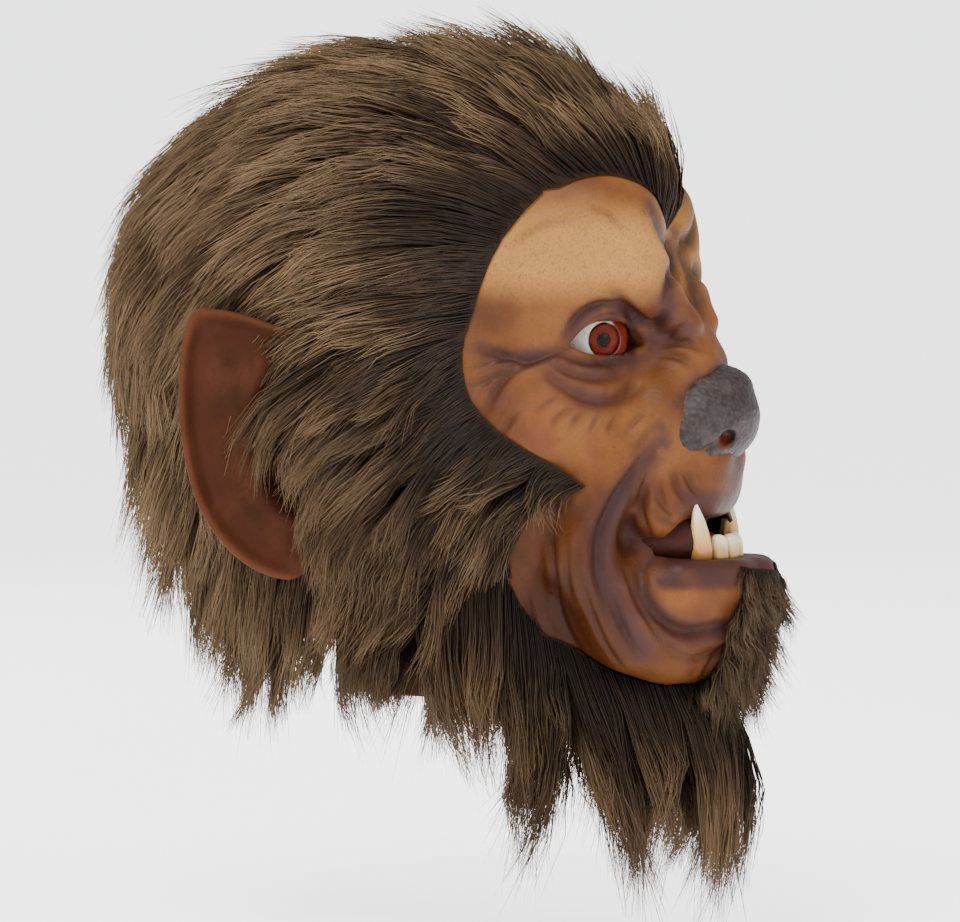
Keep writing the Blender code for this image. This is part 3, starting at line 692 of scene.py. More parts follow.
LATEX = 3.0
COARSE = 4
inner_volume = openvdb.FloatGrid(500.0)
inner_volume.copyFromArray(np.ascontiguousarray(clay[::COARSE, ::COARSE, ::COARSE]))
inner_cells, inner_quads = inner_volume.convertToQuads(isovalue=-LATEX)
inner_axes = [axis[::COARSE] for axis in GRID]
inner_points = np.stack(
    [np.interp(inner_cells[:, k], np.arange(len(a)), a) for k, a in enumerate(inner_axes)], axis=-1
)
floor_faces = (inner_points[inner_quads][..., 2] < LATEX + 1.2).all(axis=1)
inner_wall = new_object("latex_inside", inner_points, inner_quads[~floor_faces])
print("inner wall:", len(inner_wall.data.polygons), "faces")
both = bmesh.new()
both.from_mesh(skin.data)
both.from_mesh(inner_wall.data)
both.verts.ensure_lookup_table()
bmesh.ops.delete(both, geom=[v for v in both.verts if not v.link_faces], context="VERTS")
rim_level = (LATEX + 2.0) * MM
low_rim = [e for e in both.edges if e.is_boundary and max(v.co.z for v in e.verts) < rim_level]
bmesh.ops.bridge_loops(both, edges=low_rim)
both.to_mesh(skin.data)
both.free()
bpy.data.objects.remove(inner_wall)
skin.data.shade_smooth()

# %% [markdown]
# The paint itself. Ochre is broken up by soft blotches and brown freckles, washes that are
# partly painted shade gather in the creases, and pores and fine crackle give the satin latex its grain.

# %% Painted latex
def new_paint(name, roughness=0.5, shine=0.12):
    """An empty material with its node tree at hand."""
    made = bpy.data.materials.new(name)
    made.use_nodes = True
    made.node_tree.nodes["Principled BSDF"].inputs["Roughness"].default_value = roughness
    made.node_tree.nodes["Principled BSDF"].inputs["Specular IOR Level"].default_value = shine
    return made, made.node_tree.nodes, made.node_tree.links


def noise(nodes, links, scale, detail=3.0, distortion=0.0, stretch=(1.0, 1.0, 1.0)):
    """Noise on Object coordinates; a scale of 100 repeats about every 10 mm."""
    place = nodes.new("ShaderNodeTexCoord")
    mapping = nodes.new("ShaderNodeMapping")
    mapping.inputs["Scale"].default_value = stretch
    made = nodes.new("ShaderNodeTexNoise")
    made.inputs["Scale"].default_value = scale
    made.inputs["Detail"].default_value = detail
    made.inputs["Distortion"].default_value = distortion
    links.new(place.outputs["Object"], mapping.inputs["Vector"])
    links.new(mapping.outputs["Vector"], made.inputs["Vector"])
    return made.outputs["Fac"]


def steep(nodes, links, value, low, high, top=1.0):
    """Turns a value into a mask: 0 below low, top above high."""
    made = nodes.new("ShaderNodeMapRange")
    made.interpolation_type = "SMOOTHSTEP"
    made.inputs["From Min"].default_value = low
    made.inputs["From Max"].default_value = high
    made.inputs["To Max"].default_value = top
    links.new(value, made.inputs["Value"])
    return made.outputs["Result"]


def over(nodes, links, below, above, mask, blend="MIX"):
    """Lays one colour over another through a mask."""
    made = nodes.new("ShaderNodeMix")
    made.data_type = "RGBA"
    made.blend_type = blend
    for socket, value in ((made.inputs[0], mask), (made.inputs[6], below), (made.inputs[7], above)):
        if isinstance(value, bpy.types.NodeSocket):
            links.new(value, socket)
        elif isinstance(value, tuple):
            socket.default_value = (*value, 1.0)
        else:
            socket.default_value = value
    return made.outputs[2]


def product(nodes, links, first, second):
    made = nodes.new("ShaderNodeMath")
    made.operation = "MULTIPLY"
    for socket, value in ((made.inputs[0], first), (made.inputs[1], second)):
        if isinstance(value, bpy.types.NodeSocket):
            links.new(value, socket)
        else:
            socket.default_value = value
    return made.outputs[0]


def mask_of(nodes, name):
    made = nodes.new("ShaderNodeAttribute")
    made.attribute_name = name
    return made.outputs["Fac"]


def bump(nodes, links, height, strength, distance, below=None):
    made = nodes.new("ShaderNodeBump")
    made.inputs["Strength"].default_value = strength
    made.inputs["Distance"].default_value = distance
    links.new(height, made.inputs["Height"])
    if below is not None:
        links.new(below, made.inputs["Normal"])
    return made.outputs["Normal"]


latex_paint, nodes, links = new_paint("painted_latex", 0.42)
shader = nodes["Principled BSDF"]
blotches = steep(nodes, links, noise(nodes, links, 38.0, 4.0), 0.38, 0.66)
tone = over(nodes, links, (0.135, 0.049, 0.011), (0.075, 0.024, 0.006), blotches)
tone = over(nodes, links, tone, (0.320, 0.150, 0.038),
            product(nodes, links, mask_of(nodes, "pale"), 0.75))
streaks = steep(nodes, links, noise(nodes, links, 60.0, 4.0, 0.5, (1.0, 1.0, 0.25)), 0.45, 0.7, 0.6)
# streaked reddish brown: the cheek flush, and painted shade low on the head
tone = over(nodes, links, tone, (0.100, 0.026, 0.010),
            product(nodes, links, mask_of(nodes, "flush_and_low_shade"), streaks))
freckles = steep(nodes, links, noise(nodes, links, 420.0, 2.0), 0.60, 0.78, 0.45)
tone = over(nodes, links, tone, (0.060, 0.024, 0.010), freckles)
fine = steep(nodes, links, noise(nodes, links, 900.0, 2.0), 0.4, 0.75, 0.35)
tone = over(nodes, links, tone, (0.090, 0.034, 0.012), fine)
tone = over(nodes, links, tone, (0.40, 0.32, 0.27), mask_of(nodes, "shade"), "MULTIPLY")
wash = product(nodes, links, mask_of(nodes, "purple"),
               steep(nodes, links, noise(nodes, links, 110.0, 3.0), 0.2, 0.55))
tone = over(nodes, links, tone, (0.040, 0.016, 0.015), wash)
# near-black in the creases: a wash that is partly painted shade
tone = over(nodes, links, tone, (0.020, 0.007, 0.006),
            product(nodes, links, mask_of(nodes, "crease_wash_and_shade"), 0.85))
tone = over(nodes, links, tone, (0.030, 0.010, 0.008),
            product(nodes, links, mask_of(nodes, "dark"), 0.92))
links.new(tone, shader.inputs["Base Color"])
satin = nodes.new("ShaderNodeMapRange")
satin.inputs["To Min"].default_value = 0.42
satin.inputs["To Max"].default_value = 0.58
links.new(noise(nodes, links, 140.0, 3.0), satin.inputs["Value"])
links.new(satin.outputs["Result"], shader.inputs["Roughness"])
pores = bump(nodes, links, noise(nodes, links, 1100.0, 3.0), 0.35, 0.0004)
grain = bump(nodes, links, noise(nodes, links, 240.0, 4.0, 0.8), 0.4, 0.0007, pores)
links.new(grain, shader.inputs["Normal"])
on_frame(skin, latex_paint, "latex", "latex_skin")

# %% [markdown]
# The eyes are half-round resin eyes set behind the lids: a painted ball, an iris sunk in
# its front, and a clear dome over it that catches the light. All three are turned on a
# lathe about the line of sight, so one function makes them from their profiles.

# %% Turning round pieces
EYE_LOOK = unit(row(0.72, -0.69, -0.02))
IRIS_RADIUS, PUPIL_RADIUS = 7.4, 3.0


def turned(name, profile, centre, axis, segments=64):
    """Turns a profile of (radius, height) pairs about an axis; the ends lie on the axis."""
    axis = unit(axis)
    first = unit(np.cross(axis, row(0, 0, 1)))
    second = np.cross(axis, first)
    turn = np.linspace(0.0, 2.0 * np.pi, segments, endpoint=False)[:, None]
    ring = np.cos(turn) * first + np.sin(turn) * second
    rows = [centre + ring * radius + axis * height for radius, height in profile[1:-1]]
    ends = [centre + axis * profile[0][1], centre + axis * profile[-1][1]]
    spots = np.vstack(rows + ends)
    faces, count = [], len(rows)
    for j in range(segments):
        k = (j + 1) % segments
        for i in range(count - 1):
            a = i * segments
            faces.append((a + j, a + k, a + segments + k, a + segments + j))
        faces.append((count * segments, k, j))
        last = (count - 1) * segments
        faces.append((last + j, last + k, count * segments + 1))
    made = new_object(name, spots, faces)
    shape = bmesh.new()
    shape.from_mesh(made.data)
    bmesh.ops.recalc_face_normals(shape, faces=shape.faces)
    shape.to_mesh(made.data)
    shape.free()
    return made


def arc(radius, start, end, count):
    """Profile points on a circle, from one polar angle to another, in degrees."""
    angles = np.radians(np.linspace(start, end, count))
    return [(radius * math.sin(a), radius * math.cos(a)) for a in angles]


# %% Eye paints
white_paint, nodes, links = new_paint("eye_white_paint", 0.15, 0.3)
shader = nodes["Principled BSDF"]
veins = steep(nodes, links, noise(nodes, links, 330.0, 5.0, 2.5), 0.60, 0.66, 0.5)
tone = over(nodes, links, (0.42, 0.38, 0.33), (0.22, 0.06, 0.04), veins)
tone = over(nodes, links, tone, (0.095, 0.010, 0.004), mask_of(nodes, "red_corner"))
# darker brown at the top and bottom of the ball, where the lids shade it: painted shade
tone = over(nodes, links, tone, (0.05, 0.012, 0.008), mask_of(nodes, "painted_lid_shade"))
links.new(tone, shader.inputs["Base Color"])

iris_paint, nodes, links = new_paint("iris_paint", 0.6, 0.0)
shader = nodes["Principled BSDF"]
fibre = steep(nodes, links, mask_of(nodes, "fibre"), 0.2, 0.8)
tone = over(nodes, links, (0.130, 0.014, 0.004), (0.045, 0.004, 0.002), fibre)
tone = over(nodes, links, tone, (0.020, 0.003, 0.002), mask_of(nodes, "iris_rim"))
tone = over(nodes, links, tone, (0.004, 0.003, 0.003), mask_of(nodes, "pupil"))
links.new(tone, shader.inputs["Base Color"])

dome_resin = bpy.data.materials.new("clear_dome")
dome_resin.use_nodes = True
shader = dome_resin.node_tree.nodes["Principled BSDF"]
shader.inputs["Base Color"].default_value = (1.0, 0.985, 0.97, 1.0)
shader.inputs["Roughness"].default_value = 0.02
shader.inputs["Transmission Weight"].default_value = 1.0
shader.inputs["IOR"].default_value = 1.13

# %% Eyes
CUP = math.degrees(math.asin(IRIS_RADIUS / EYE_RADIUS))
iris_level = math.sqrt(EYE_RADIUS**2 - IRIS_RADIUS**2) - 1.0

for side, word in ((-1, "right"), (1, "left")):
    centre, look = EYE_CENTRE * row(side, 1, 1), EYE_LOOK * row(side, 1, 1)
    rim = arc(EYE_RADIUS, 180.0, CUP, 40)
    ball = turned(word + "_eye_ball", rim + [(IRIS_RADIUS - 0.3, iris_level - 0.7),
                                             (0.0, iris_level - 0.8)], centre, look)
    offset = points_of(ball) - centre
    toward_nose = offset @ unit(row(-side * 0.78, -0.62, 0.0))
    paint(ball, "red_corner", smoothstep(0.5, 3.0, toward_nose))
    # painted shade on the ball above and below, where the lids overhang it
    lid_gap = np.abs(offset[:, 2] - 0.5)
    paint(ball, "painted_lid_shade", 0.75 * smoothstep(5.5, 8.5, lid_gap))
    on_frame(ball, white_paint, "eye_white", word + "_eyeball")

    radii = np.linspace(0.0, IRIS_RADIUS - 0.35, 26)
    front = [(r, iris_level + 0.25 * smoothstep(PUPIL_RADIUS, PUPIL_RADIUS + 0.8, r)
              - 0.05 * (r > PUPIL_RADIUS)) for r in radii]
    disc = turned(word + "_iris_disc", front + [(IRIS_RADIUS - 0.35, iris_level - 0.5),
                                                (0.0, iris_level - 0.5)], centre, look, 120)
    offset = points_of(disc) - centre
    flat = offset - np.outer(offset @ look, look)
    span = np.linalg.norm(flat, axis=1)
    first = unit(np.cross(look, row(0, 0, 1)))
    turn = np.arctan2(flat @ np.cross(look, first), flat @ first)
    ripple = 0.5 + 0.25 * np.sin(turn * 31.0 + 2.0 * np.sin(turn * 5.0))
    paint(disc, "fibre", np.clip(ripple + 0.25 * np.sin(turn * 53.0 + span), 0.0, 1.0))
    paint(disc, "iris_rim", smoothstep(IRIS_RADIUS - 2.2, IRIS_RADIUS - 0.6, span))
    paint(disc, "pupil", smoothstep(PUPIL_RADIUS + 0.35, PUPIL_RADIUS - 0.1, span))
    on_frame(disc, iris_paint, "iris", word + "_iris")

    dome_edge = CUP + 1.0
    outside = [(r, h + 1.5 * math.cos(math.radians(a) * 90.0 / dome_edge)) for (r, h), a in
               zip(arc(EYE_RADIUS + 0.1, 0.0, dome_edge, 18), np.linspace(0.0, dome_edge, 18))]
    inside = [(r, iris_level + 0.45) for r in np.linspace(IRIS_RADIUS - 0.2, 0.0, 6)]
    dome = turned(word + "_eye_dome", outside + inside, centre, look)
    on_frame(dome, dome_resin, "clear_resin", word + "_cornea")

# %% [markdown]
# The nose is a separate casting of a dog's nose pad. It gets a little lump of clay of its
# own: a rounded wedge with two wings, nostrils scooped out as commas and a groove down the
# middle. Its leathery pebbles are real relief, pushed out of the surface vertex by vertex.

# %% Nose
nose_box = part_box("nose")
nose_low, nose_high = row(*nose_box[0]) / MM, row(*nose_box[1]) / MM
nose_middle = (nose_low + nose_high) / 2.0
NOSE_CELL = 0.75
nose_axes = [np.arange(a - 6.0, b + 10.0, NOSE_CELL) for a, b in zip(nose_low, nose_high)]
grid = np.meshgrid(*nose_axes, indexing="ij", sparse=True)
nose_clay = ellipsoid(*grid, nose_middle + row(0, 4, -1), (26.0, 23.0, 21.0))
nose_clay = smooth_union(nose_clay, ellipsoid(*grid, nose_middle + row(0, -2, 13), (12, 13, 7)), 7)
for side in (1, -1):
    wing = nose_middle + row(16 * side, 8, -9)
    nose_clay = smooth_union(nose_clay, ellipsoid(*grid, wing, (12.5, 18, 14)), 6)
    inner, outer = nose_middle + row(14 * side, -10, -8), nose_middle + row(20 * side, -12, -10)
    hole = limb(*grid, inner, outer, 3.2, 4.2)
    nose_clay = -smooth_union(-nose_clay, hole, 2.0)
    slit_end = nose_middle + row(27 * side, 2, -16)
    hole = limb(*grid, outer, slit_end, 2.2, 0.9)
    nose_clay = -smooth_union(-nose_clay, hole, 2.0)
groove = limb(*grid, nose_middle + row(0, -19, -17), nose_middle + row(0, -22, -2), 1.6, 0.8)
nose_clay = -smooth_union(-nose_clay, groove, 2.0)
nose_volume = openvdb.FloatGrid(50.0)
nose_volume.copyFromArray(nose_clay.astype(np.float32))
cells, quads = nose_volume.convertToQuads(isovalue=0.0)
nose_points = np.stack(
    [np.interp(cells[:, k], np.arange(len(a)), a) for k, a in enumerate(nose_axes)], axis=-1
)
pad = new_object("nose_pad", nose_points, quads[:, ::-1])
pebbles = np.array([hills.voronoi(Vector(p) * 0.55)[0][0] for p in nose_points])
flat = np.empty(len(nose_points) * 3, np.float32)
pad.data.vertices.foreach_get("normal", flat)
normals = flat.reshape(-1, 3).astype(float)
place_points(pad, nose_points - normals * (0.5 * np.clip(pebbles, 0.0, 0.9))[:, None])
depth = nose_points - nose_middle
inside_hole = np.minimum.reduce([
    limb(*depth.T, row(13 * s, -8, -9), row(18 * s, -10, -11), 2.6, 3.0) for s in (1, -1)
])
paint(pad, "nostril", smoothstep(1.2, -0.3, inside_hole))
# the grooves between the pebbles are painted darker: painted shade
paint(pad, "pebble_groove_shade", np.clip(pebbles, 0.0, 1.0))

nose_leather, nodes, links = new_paint("nose_leather", 0.5, 0.22)
shader = nodes["Principled BSDF"]
# darker where the pebble grooves sink: painted shade
tone = over(nodes, links, (0.034, 0.024, 0.022), (0.005, 0.003, 0.003), mask_of(nodes, "pebble_groove_shade"))
dust = steep(nodes, links, noise(nodes, links, 90.0, 4.0), 0.45, 0.7, 0.6)
tone = over(nodes, links, tone, (0.052, 0.038, 0.034), dust)
tone = over(nodes, links, tone, (0.07, 0.012, 0.004), mask_of(nodes, "nostril"))
links.new(tone, shader.inputs["Base Color"])
fine = bump(nodes, links, noise(nodes, links, 1500.0, 2.0), 0.3, 0.0003)
links.new(fine, shader.inputs["Normal"])
on_frame(pad, nose_leather, "nose_latex", "nose")

# %% [markdown]
# Each ear is a shallow dish. Rings run from the ear hole out to the outline, and a height
# for every point gives the rolled rim, the groove inside it, the ridge and the hollow.

# %% Ears
EAR_ROOT, EAR_BACKWARD = row(80, 43, 108), row(0.388, 0.922, 0.0)
EAR_OUTLINE = [(3, 42), (24, 52), (46, 58), (58, 55), (63, 34), (62, 2), (54, -28), (36, -50),
               (14, -57), (2, -40), (0, 0)]
EAR_HOLE = row(11, -6)


def ear(name, side):
    knots = np.array(EAR_OUTLINE + EAR_OUTLINE[:1], float)
    ends = np.vstack([knots[-2:-1], knots, knots[1:2]])
    outline = []
    for a, b, c, d in zip(ends, ends[1:], ends[2:], ends[3:]):
        t = np.linspace(0.0, 1.0, 12, endpoint=False)[:, None]
        outline.append(0.5 * (2 * b + (c - a) * t + (2 * a - 5 * b + 4 * c - d) * t**2
                              + (3 * b - a - 3 * c + d) * t**3))
    outline = np.vstack(outline)
    shares = np.linspace(0.0, 1.0, 22)[1:] ** 0.9
    spots = EAR_HOLE + shares[:, None, None] * (outline - EAR_HOLE)[None]
    spots = np.vstack([EAR_HOLE[None], spots.reshape(-1, 2)])
    rim_gap = np.linalg.norm(spots[:, None] - outline[None], axis=2).min(axis=1)
    back, up = spots.T
    away = np.linalg.norm(spots - EAR_HOLE, axis=1)
    free = smoothstep(4.0, 22.0, back)  # the rim fades where the ear joins the head
    height = 9.0 * (away / 60.0) ** 2
    height += free * (2.6 * np.exp(-(((rim_gap - 2.6) / 2.4) ** 2))
                      - 2.2 * np.exp(-(((rim_gap - 9.0) / 4.0) ** 2)))
    ridge = smooth_line(np.array([(12, -34), (24, -26), (31, -8), (33, 14), (28, 34)], float))
    gap = np.linalg.norm(spots[:, None] - ridge[None], axis=2).min(axis=1)
    height += 3.4 * np.exp(-((gap / 4.2) ** 2))
    fork = smooth_line(np.array([(33, 12), (40, 26), (46, 38)], float))
    gap = np.linalg.norm(spots[:, None] - fork[None], axis=2).min(axis=1)
    height += 1.6 * np.exp(-((gap / 4.5) ** 2))
    hollow = np.exp(-(((back - 12) / 13.0) ** 2) - (((up + 2) / 24.0) ** 2))
    height -= 11.0 * hollow
    lumps = np.array([hills.noise(Vector((b, u, 7.0)) * 0.07) for b, u in spots])
    height += 1.3 * lumps
    backward, facing = EAR_BACKWARD * row(side, 1, 1), row(0.922 * side, -0.388, 0)
    placed = EAR_ROOT * row(side, 1, 1) + back[:, None] * backward + height[:, None] * facing
    placed[:, 2] += up
    ring = len(outline)
    faces = []
    for j in range(ring):
        k = (j + 1) % ring
        faces.append((0, 1 + j, 1 + k))
        for i in range(len(shares) - 1):
            a = 1 + i * ring
            faces.append((a + j, a + ring + j, a + ring + k, a + k))
    made = new_object(name, placed, faces)
    if np.array(made.data.polygons[0].normal) @ facing < 0:
        made.data.flip_normals()
    # The hollow and the groove inside the rim are painted darker, which is painted shade, and the rolled
    # rim lighter, which is a painted highlight.
    paint(made, "hollow", np.clip(hollow * 1.35, 0.0, 1.0))
    shaded = np.exp(-(((rim_gap - 10.0) / 5.0) ** 2)) * free
    paint(made, "groove", np.clip(shaded, 0.0, 1.0))
    paint(made, "rim", smoothstep(5.0, 1.0, rim_gap) * free)
    wall = made.modifiers.new("wall", "SOLIDIFY")
    wall.thickness = 4.2 * MM
    wall.offset = -1.0
    soften = made.modifiers.new("soften", "SUBSURF")
    soften.levels = soften.render_levels = 1
    finish_mesh(made)
    return made


ear_paint, nodes, links = new_paint("ear_paint", 0.6, 0.05)
shader = nodes["Principled BSDF"]
patches = steep(nodes, links, noise(nodes, links, 45.0, 4.0), 0.35, 0.7)
tone = over(nodes, links, (0.045, 0.014, 0.006), (0.024, 0.008, 0.003), patches)
specks = steep(nodes, links, noise(nodes, links, 420.0, 3.0), 0.5, 0.75, 0.5)
tone = over(nodes, links, tone, (0.026, 0.007, 0.003), specks)
# the lighter rim is a painted highlight; the darker groove and hollow below are painted shade
tone = over(nodes, links, tone, (0.085, 0.027, 0.011),
            product(nodes, links, mask_of(nodes, "rim"), 0.5))
tone = over(nodes, links, tone, (0.038, 0.010, 0.005),
            product(nodes, links, mask_of(nodes, "groove"), 0.6))
tone = over(nodes, links, tone, (0.010, 0.004, 0.003), mask_of(nodes, "hollow"))
links.new(tone, shader.inputs["Base Color"])
grain = bump(nodes, links, noise(nodes, links, 320.0, 4.0, 0.6), 0.4, 0.0006)
links.new(grain, shader.inputs["Normal"])
for side, word in ((-1, "right"), (1, "left")):
    on_frame(ear(word + "_ear_latex", side), ear_paint, "ear_latex", word + "_ear")

# %% [markdown]
# The lower teeth are cast in resin, ivory at the tip and stained towards the root. A tooth
# is a stack of soft rectangles that narrow in their own way: an incisor stays wide and
# rounds off, a fang swells a little and runs to a point that leans outwards.

# %% Teeth
TOOTH_ARC_Y, TOOTH_ARC_RADIUS = -89.5, 23.5
TOOTH_FOOT = 53.5


def tooth(name, angle, width, depth, height, widths, lean=0.0, out=0.0, tilt=0.0):
    """A tooth on the gum's arc; widths gives its outline from root to tip, as shares."""
    turn = math.radians(angle)
    sideways, forward = row(math.cos(turn), math.sin(turn), 0), row(math.sin(turn), -math.cos(turn), 0)
    root = row(0, TOOTH_ARC_Y, TOOTH_FOOT) + forward * TOOTH_ARC_RADIUS
    sides, levels = 36, 30
    spots = []
    for level in np.linspace(0.0, 1.0, levels):
        size = along(widths, level)
        around = np.linspace(0.0, 2.0 * np.pi, sides, endpoint=False)
        c, s = np.cos(around), np.sin(around)
        a = np.sign(c) * np.abs(c) ** 0.8 * width / 2.0 * size
        b = np.sign(s) * np.abs(s) ** 0.8 * depth / 2.0 * size**0.8
        b = b + 0.25 * np.cos(a * 2.2) * size
        centre = root + sideways * lean * level**1.6 + forward * ((1.8 + out) * level - 2.6 * level**2)
        ring = centre + a[:, None] * sideways + b[:, None] * forward
        ring[:, 2] += height * (level + tilt * a / width * level)
        spots.append(ring)
    spots = np.vstack(spots + [spots[0].mean(axis=0), spots[-1].mean(axis=0) + row(0, 0, 0.15)])
    faces = []
    for j in range(sides):
        k = (j + 1) % sides
        for i in range(levels - 1):
            faces.append((i * sides + j, i * sides + k, (i + 1) * sides + k, (i + 1) * sides + j))
        faces.append((sides * levels, k, j))
        faces.append(((levels - 1) * sides + j, (levels - 1) * sides + k, sides * levels + 1))
    made = new_object(name, spots, faces)
    share = np.clip((spots[:, 2] - TOOTH_FOOT) / height, 0.0, 1.0)
    paint(made, "to_tip", share)
    return made


tooth_resin, nodes, links = new_paint("tooth_resin", 0.2, 0.4)
shader = nodes["Principled BSDF"]
shader.inputs["Subsurface Weight"].default_value = 0.12
shader.inputs["Subsurface Radius"].default_value = (0.004, 0.002, 0.001)
shader.inputs["Subsurface Scale"].default_value = 0.5
stain = nodes.new("ShaderNodeValToRGB")
stops = stain.color_ramp.elements
stops[0].color = (0.05, 0.024, 0.008, 1.0)
stops[1].color = (0.62, 0.56, 0.43, 1.0)
for spot, colour in ((0.20, (0.22, 0.095, 0.018)), (0.36, (0.42, 0.20, 0.035)),
                     (0.58, (0.52, 0.36, 0.14)), (0.78, (0.60, 0.51, 0.34))):
    stops.new(spot).color = (*colour, 1.0)
links.new(mask_of(nodes, "to_tip"), stain.inputs[0])
lines = steep(nodes, links, noise(nodes, links, 300.0, 3.0, 0.3, (1.0, 1.0, 0.15)), 0.45, 0.75, 0.35)
tone = over(nodes, links, stain.outputs[0], (0.20, 0.10, 0.03), lines)
links.new(tone, shader.inputs["Base Color"])
ripples = bump(nodes, links, noise(nodes, links, 350.0, 2.0, 0.3, (1.0, 1.0, 0.2)), 0.25, 0.0004)
links.new(ripples, shader.inputs["Normal"])

INCISOR = [(0.0, 0.86), (0.35, 0.97), (0.7, 1.0), (0.86, 0.93), (0.95, 0.74), (1.0, 0.38)]
FANG = [(0.0, 0.86), (0.15, 0.98), (0.3, 1.0), (0.5, 0.84), (0.7, 0.58), (0.88, 0.27), (1.0, 0.03)]
for number, angle in enumerate((-30, -10, 10, 30), start=1):
    piece = tooth("incisor_%d" % number, angle, 7.6, 5.4, 15.0, INCISOR, tilt=0.03 * (-1) ** number)
    on_frame(piece, tooth_resin, "tooth_resin", "lower_incisor_%d" % number)
for word, angle in (("right", -53), ("left", 53)):
    side = math.copysign(1.0, angle)
    piece = tooth(word + "_fang", angle, 9.8, 8.2, 31.0, FANG, lean=5.0 * side, out=6.0)
    on_frame(piece, tooth_resin, "tooth_resin", word + "_lower_fang")

# %% [markdown]
# Inside the mouth: a lumpy gum that the teeth stand in, a tongue and a dark pocket that
# closes the mouth. They are only seen between the teeth, but they make the mouth deep.

# %% Gum, tongue and mouth pocket
flesh_paint, nodes, links = new_paint("mouth_flesh", 0.22)
shader = nodes["Principled BSDF"]
shader.inputs["Coat Weight"].default_value = 0.4
mottle = steep(nodes, links, noise(nodes, links, 160.0, 4.0), 0.35, 0.7)
tone = over(nodes, links, (0.24, 0.026, 0.010), (0.10, 0.011, 0.006), mottle)
links.new(tone, shader.inputs["Base Color"])
soft = bump(nodes, links, noise(nodes, links, 500.0, 3.0), 0.4, 0.0005)
links.new(soft, shader.inputs["Normal"])

pocket_paint, nodes, links = new_paint("mouth_pocket_paint", 0.5)
shader = nodes["Principled BSDF"]
mottle = steep(nodes, links, noise(nodes, links, 90.0, 4.0), 0.3, 0.7)
tone = over(nodes, links, (0.030, 0.005, 0.003), (0.009, 0.003, 0.002), mottle)
links.new(tone, shader.inputs["Base Color"])
soft = bump(nodes, links, noise(nodes, links, 260.0, 3.0), 0.5, 0.0008)
links.new(soft, shader.inputs["Normal"])

turns = np.radians(np.linspace(-88.0, 88.0, 90))
around = np.linspace(0.0, 2.0 * np.pi, 24, endpoint=False)
spots = []
for turn in turns:
    forward = row(math.sin(turn), -math.cos(turn), 0)
    swell = 1.0 + 0.10 * math.cos(math.degrees(turn) / 20.0 * 2.0 * math.pi)
    close = math.sqrt(max(1.0 - (abs(turn) / math.radians(92.0)) ** 12, 0.05))
    middle = row(0, TOOTH_ARC_Y, 50.6) + forward * TOOTH_ARC_RADIUS
    ring = middle + np.cos(around)[:, None] * forward * 4.6 * swell * close
    ring[:, 2] += np.sin(around) * 5.6 * swell * close
    spots.append(ring)
spots = np.vstack(spots + [spots[0].mean(axis=0), spots[-1].mean(axis=0)])
faces, count = [], len(turns)
for j in range(24):
    k = (j + 1) % 24
    for i in range(count - 1):
        faces.append((i * 24 + j, i * 24 + k, (i + 1) * 24 + k, (i + 1) * 24 + j))
    faces.append((count * 24, k, j))
    faces.append(((count - 1) * 24 + j, (count - 1) * 24 + k, count * 24 + 1))
gum = new_object("gum_ridge", spots, faces)


def recalculated(thing):
    """Faces turned outwards on a closed piece."""
    shape = bmesh.new()
    shape.from_mesh(thing.data)
    bmesh.ops.recalc_face_normals(shape, faces=shape.faces)
    shape.to_mesh(thing.data)
    shape.free()
    return thing


on_frame(recalculated(gum), flesh_paint, "gum", "lower_gum")

tongue = turned("tongue_body", arc(1.0, 180.0, 0.0, 40), row(0, 0, 0), row(0, -1, 0), 48)
spots = points_of(tongue)
ridge = np.exp(-((spots[:, 0] / 0.16) ** 2)) * smoothstep(-0.2, 0.4, spots[:, 2])
spots = spots * row(13.5, 16.0, 6.0) + row(0, -90, 65)
spots[:, 2] -= 1.6 * ridge
spots[:, 2] += 3.0 * smoothstep(-92.0, -78.0, spots[:, 1])
place_points(tongue, spots)
on_frame(tongue, flesh_paint, "gum", "tongue")

rings = arc(1.0, 48.0, 176.0, 26)
spots = []
for radius, height in rings:
    ring = np.stack([np.cos(around) * radius, np.full(24, -height), np.sin(around) * radius], axis=-1)
    spots.append(ring * row(30.0, 30.0, 17.0) + row(0, -86, 67))
spots = np.vstack(spots + [row(0, -56, 67)[None]])
faces = []
for j in range(24):
    k = (j + 1) % 24
    for i in range(len(rings) - 1):
        faces.append((i * 24 + j, (i + 1) * 24 + j, (i + 1) * 24 + k, i * 24 + k))
    last = (len(rings) - 1) * 24
    faces.append((last + j, len(rings) * 24, last + k))
pocket = recalculated(new_object("mouth_pocket", spots, faces))
wall = pocket.modifiers.new("wall", "SOLIDIFY")
wall.thickness = 1.6 * MM
wall.offset = 0.0
finish_mesh(pocket)
on_frame(recalculated(pocket), pocket_paint, "lining", "mouth_lining")

# %% [markdown]
# Faux fur is a knitted backing with loose pile. A maker cuts it in panels, glues them on
# and combs them. Each panel here is a thin stretched sheet that follows the latex, and it
# carries two vectors at each vertex, which say how a hair that grows there bends and where
# its tip ends. They come from a comb: a few strokes, each with a place on the head, a
# direction and a length, blended over the scalp.

